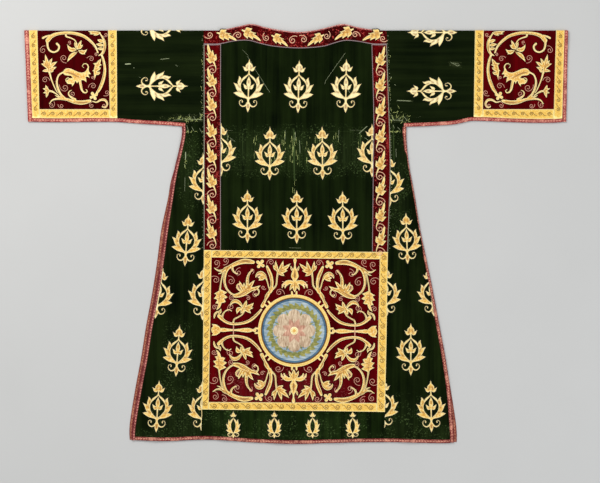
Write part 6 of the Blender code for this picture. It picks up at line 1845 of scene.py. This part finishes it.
STITCH_RUNS = {  # x from the seam, y from and to, steps between stitches
    "sleeve_left": ("seam_left", -3.5, 330, 560, 9.0),
    "front_gore_left": ("seam_left", -3.0, -40, 300, 12.0),
    "sleeve_right": ("seam_right", 3.5, 330, 560, 8.0),
    "front_gore_right": ("seam_right", 3.2, -40, 300, 9.0),
}


FRAYS = {  # x, y, half width and half height of the frayed spot, strands, longest strand
    "sleeve_left": [(-286, 321, 26, 5, 16, 16), (-336, 325, 18, 3, 9, 14), (-263, 330, 6, 12, 6, 10),
        (-262, 420, 4, 90, 12, 7)],
    "front_gore_left": [(-292, 308, 14, 8, 8, 11), (-262, 240, 4, 70, 12, 6), (-310, 215, 2, 40, 6, 9)],
    "sleeve_right": [(284, 322, 34, 10, 26, 10), (276, 348, 22, 8, 10, 11), (262, 420, 4, 90, 14, 7)],
    "front_gore_right": [(280, 300, 22, 12, 16, 9), (262, 240, 4, 70, 14, 6)],
}
STREAKS = [  # x, y, half width and half height of a worn spot of the centre front, upright strands
    (-6, 238, 12, 44, 26), (-36, 244, 8, 36, 9), (34, 240, 8, 36, 8), (-112, 250, 8, 34, 7),
    (-186, 248, 8, 34, 9), (112, 246, 10, 34, 7), (180, 240, 8, 36, 9), (-4, 130, 6, 40, 6),
    (60, 268, 14, 14, 5), (-66, 205, 6, 14, 4),
]


def make_frays():
    """Short ends of yellow-green floss where the velvet has frayed."""
    chance = np.random.default_rng(11)
    for node, rows in FRAYS.items():
        work = Work()
        for x, y, half_width, half_height, count, longest in rows:
            for _ in range(count):
                start = np.array([x, y]) + chance.uniform(-1, 1, 2) * (half_width, half_height)
                if node.startswith("front_gore"):
                    start[1] = min(start[1], edge_at(f"under_{node[11:]}", 290) - 14)
                turn = chance.uniform(0, 2 * math.pi)
                reach = chance.uniform(0.35, 1.0) * longest / 2
                way = np.array([math.cos(turn), math.sin(turn)]) * reach
                bow = np.array([-way[1], way[0]]) * chance.uniform(-0.3, 0.3)
                run = smooth_run([start - way, start + bow, start + way], 1.6)
                cord(work, run[:, :2], chance.uniform(0.28, 0.5), front, VELVET + 0.2, sides=4, taper=3.0)
        work.piece(f"{node}_frays", FLOSS, "silk", on=f"{node}_cloth")
    work = Work()
    for x, y, half_width, half_height, count in STREAKS:
        for _ in range(count):
            middle = np.array([x, y]) + chance.uniform(-1, 1, 2) * (half_width, half_height)
            reach = chance.uniform(1.5, 9.0)
            run = straight(middle - (0, reach), middle + (0, reach), 3.0)
            run[:, 0] += np.cumsum(chance.normal(0, 0.1, len(run)))
            cord(work, run, chance.uniform(0.28, 0.5), front, VELVET + 0.1, sides=4, taper=2.0)
    work.piece("front_centre_streaks", FLOSS, "silk", on="front_centre_cloth")


def make_threads():
    """Pale worn lines and loose stitches on the velvet."""
    chance = np.random.default_rng(7)
    for node, rows in THREADS.items():
        work = Work()
        for x0, y0, x1, y1, radius in rows:
            run = straight((x0, y0), (x1, y1), 2.5)
            sway = np.cumsum(chance.normal(0, 0.12, run.shape), axis=0)
            flat = 0.5 if radius > 1 else 1.0
            cord(work, run + sway, radius, front, VELVET + 0.05, sides=4, flat=flat, taper=5.0)
        if node in STITCH_RUNS:
            edge, aside, low, high, step = STITCH_RUNS[node]
            ys = np.arange(low, high, step)
            for y in ys + chance.uniform(-3, 3, len(ys)):
                x = edge_at(edge, y) + aside + chance.uniform(-1.5, 1.5)
                lean = chance.uniform(-1.2, 1.2, 2)
                run = straight((x, y), (x + lean[0], y + 2.4 + lean[1]), 1.0)
                cord(work, run, 0.5, front, VELVET + 0.1, sides=4, taper=1.0)
        work.piece(f"{node}_threads", THREAD, "silk", on=f"{node}_cloth")


# ---------------------------------------------------------------- camera, lights and floor

CAMERA_X, CAMERA_Y = 0.0112, -0.0210
CAMERA_HEIGHT = 4.672
LENS = 100.0


def area_light(name, place, size, power, colour):
    """A rectangular lamp that shines at the garment's middle."""
    data = bpy.data.lights.new(name, "AREA")
    data.shape = "RECTANGLE"
    data.size, data.size_y = size
    data.energy = power
    data.color = colour
    lamp = bpy.data.objects.new(name, data)
    lamp.location = place
    lamp.rotation_euler = (-Vector(place)).to_track_quat("-Z", "Y").to_euler()
    bpy.context.scene.collection.objects.link(lamp)


def make_studio():
    scene = bpy.context.scene
    camera_data = bpy.data.cameras.new("overhead")
    camera_data.lens = LENS
    camera = bpy.data.objects.new("overhead", camera_data)
    camera.location = (CAMERA_X, CAMERA_Y, CAMERA_HEIGHT)
    scene.collection.objects.link(camera)
    scene.camera = camera
    scene.view_settings.view_transform = "Standard"

    area_light("key", (-1.6, 1.9, 2.6), (2.4, 1.8), 84, (1.0, 0.98, 0.95))
    area_light("fill", (1.9, -1.3, 2.4), (2.4, 2.0), 28, (0.95, 0.97, 1.0))
    world = bpy.data.worlds.new("studio")
    world.use_nodes = True
    world.node_tree.nodes["Background"].inputs["Color"].default_value = (0.96, 0.98, 1.0, 1)
    world.node_tree.nodes["Background"].inputs["Strength"].default_value = 0.57
    scene.world = world

    bpy.ops.object.select_all(action="DESELECT")
    bpy.ops.mesh.primitive_plane_add(size=14, location=(0, 0, -0.0002))
    floor = bpy.context.object
    floor.name = "floor"
    finish = Finish("pale_floor", roughness=0.9, specular_ior_level=0.2)
    colour = finish.blend(finish.noise(3.0, 4.0), (0.54, 0.54, 0.53), (0.58, 0.58, 0.57))
    finish.tree.links.new(colour, finish.shader.inputs["Base Color"])
    floor.data.materials.append(finish.material)


make_studio()
PALMETTE = palmette_cut()
make_back()
make_centre_front(PALMETTE)
make_gores(PALMETTE)
make_hem_strip()
make_orphreys()
make_neck_band()
make_skirt_apparel()
make_sleeves(PALMETTE)
make_trims()
make_threads()
make_frays()
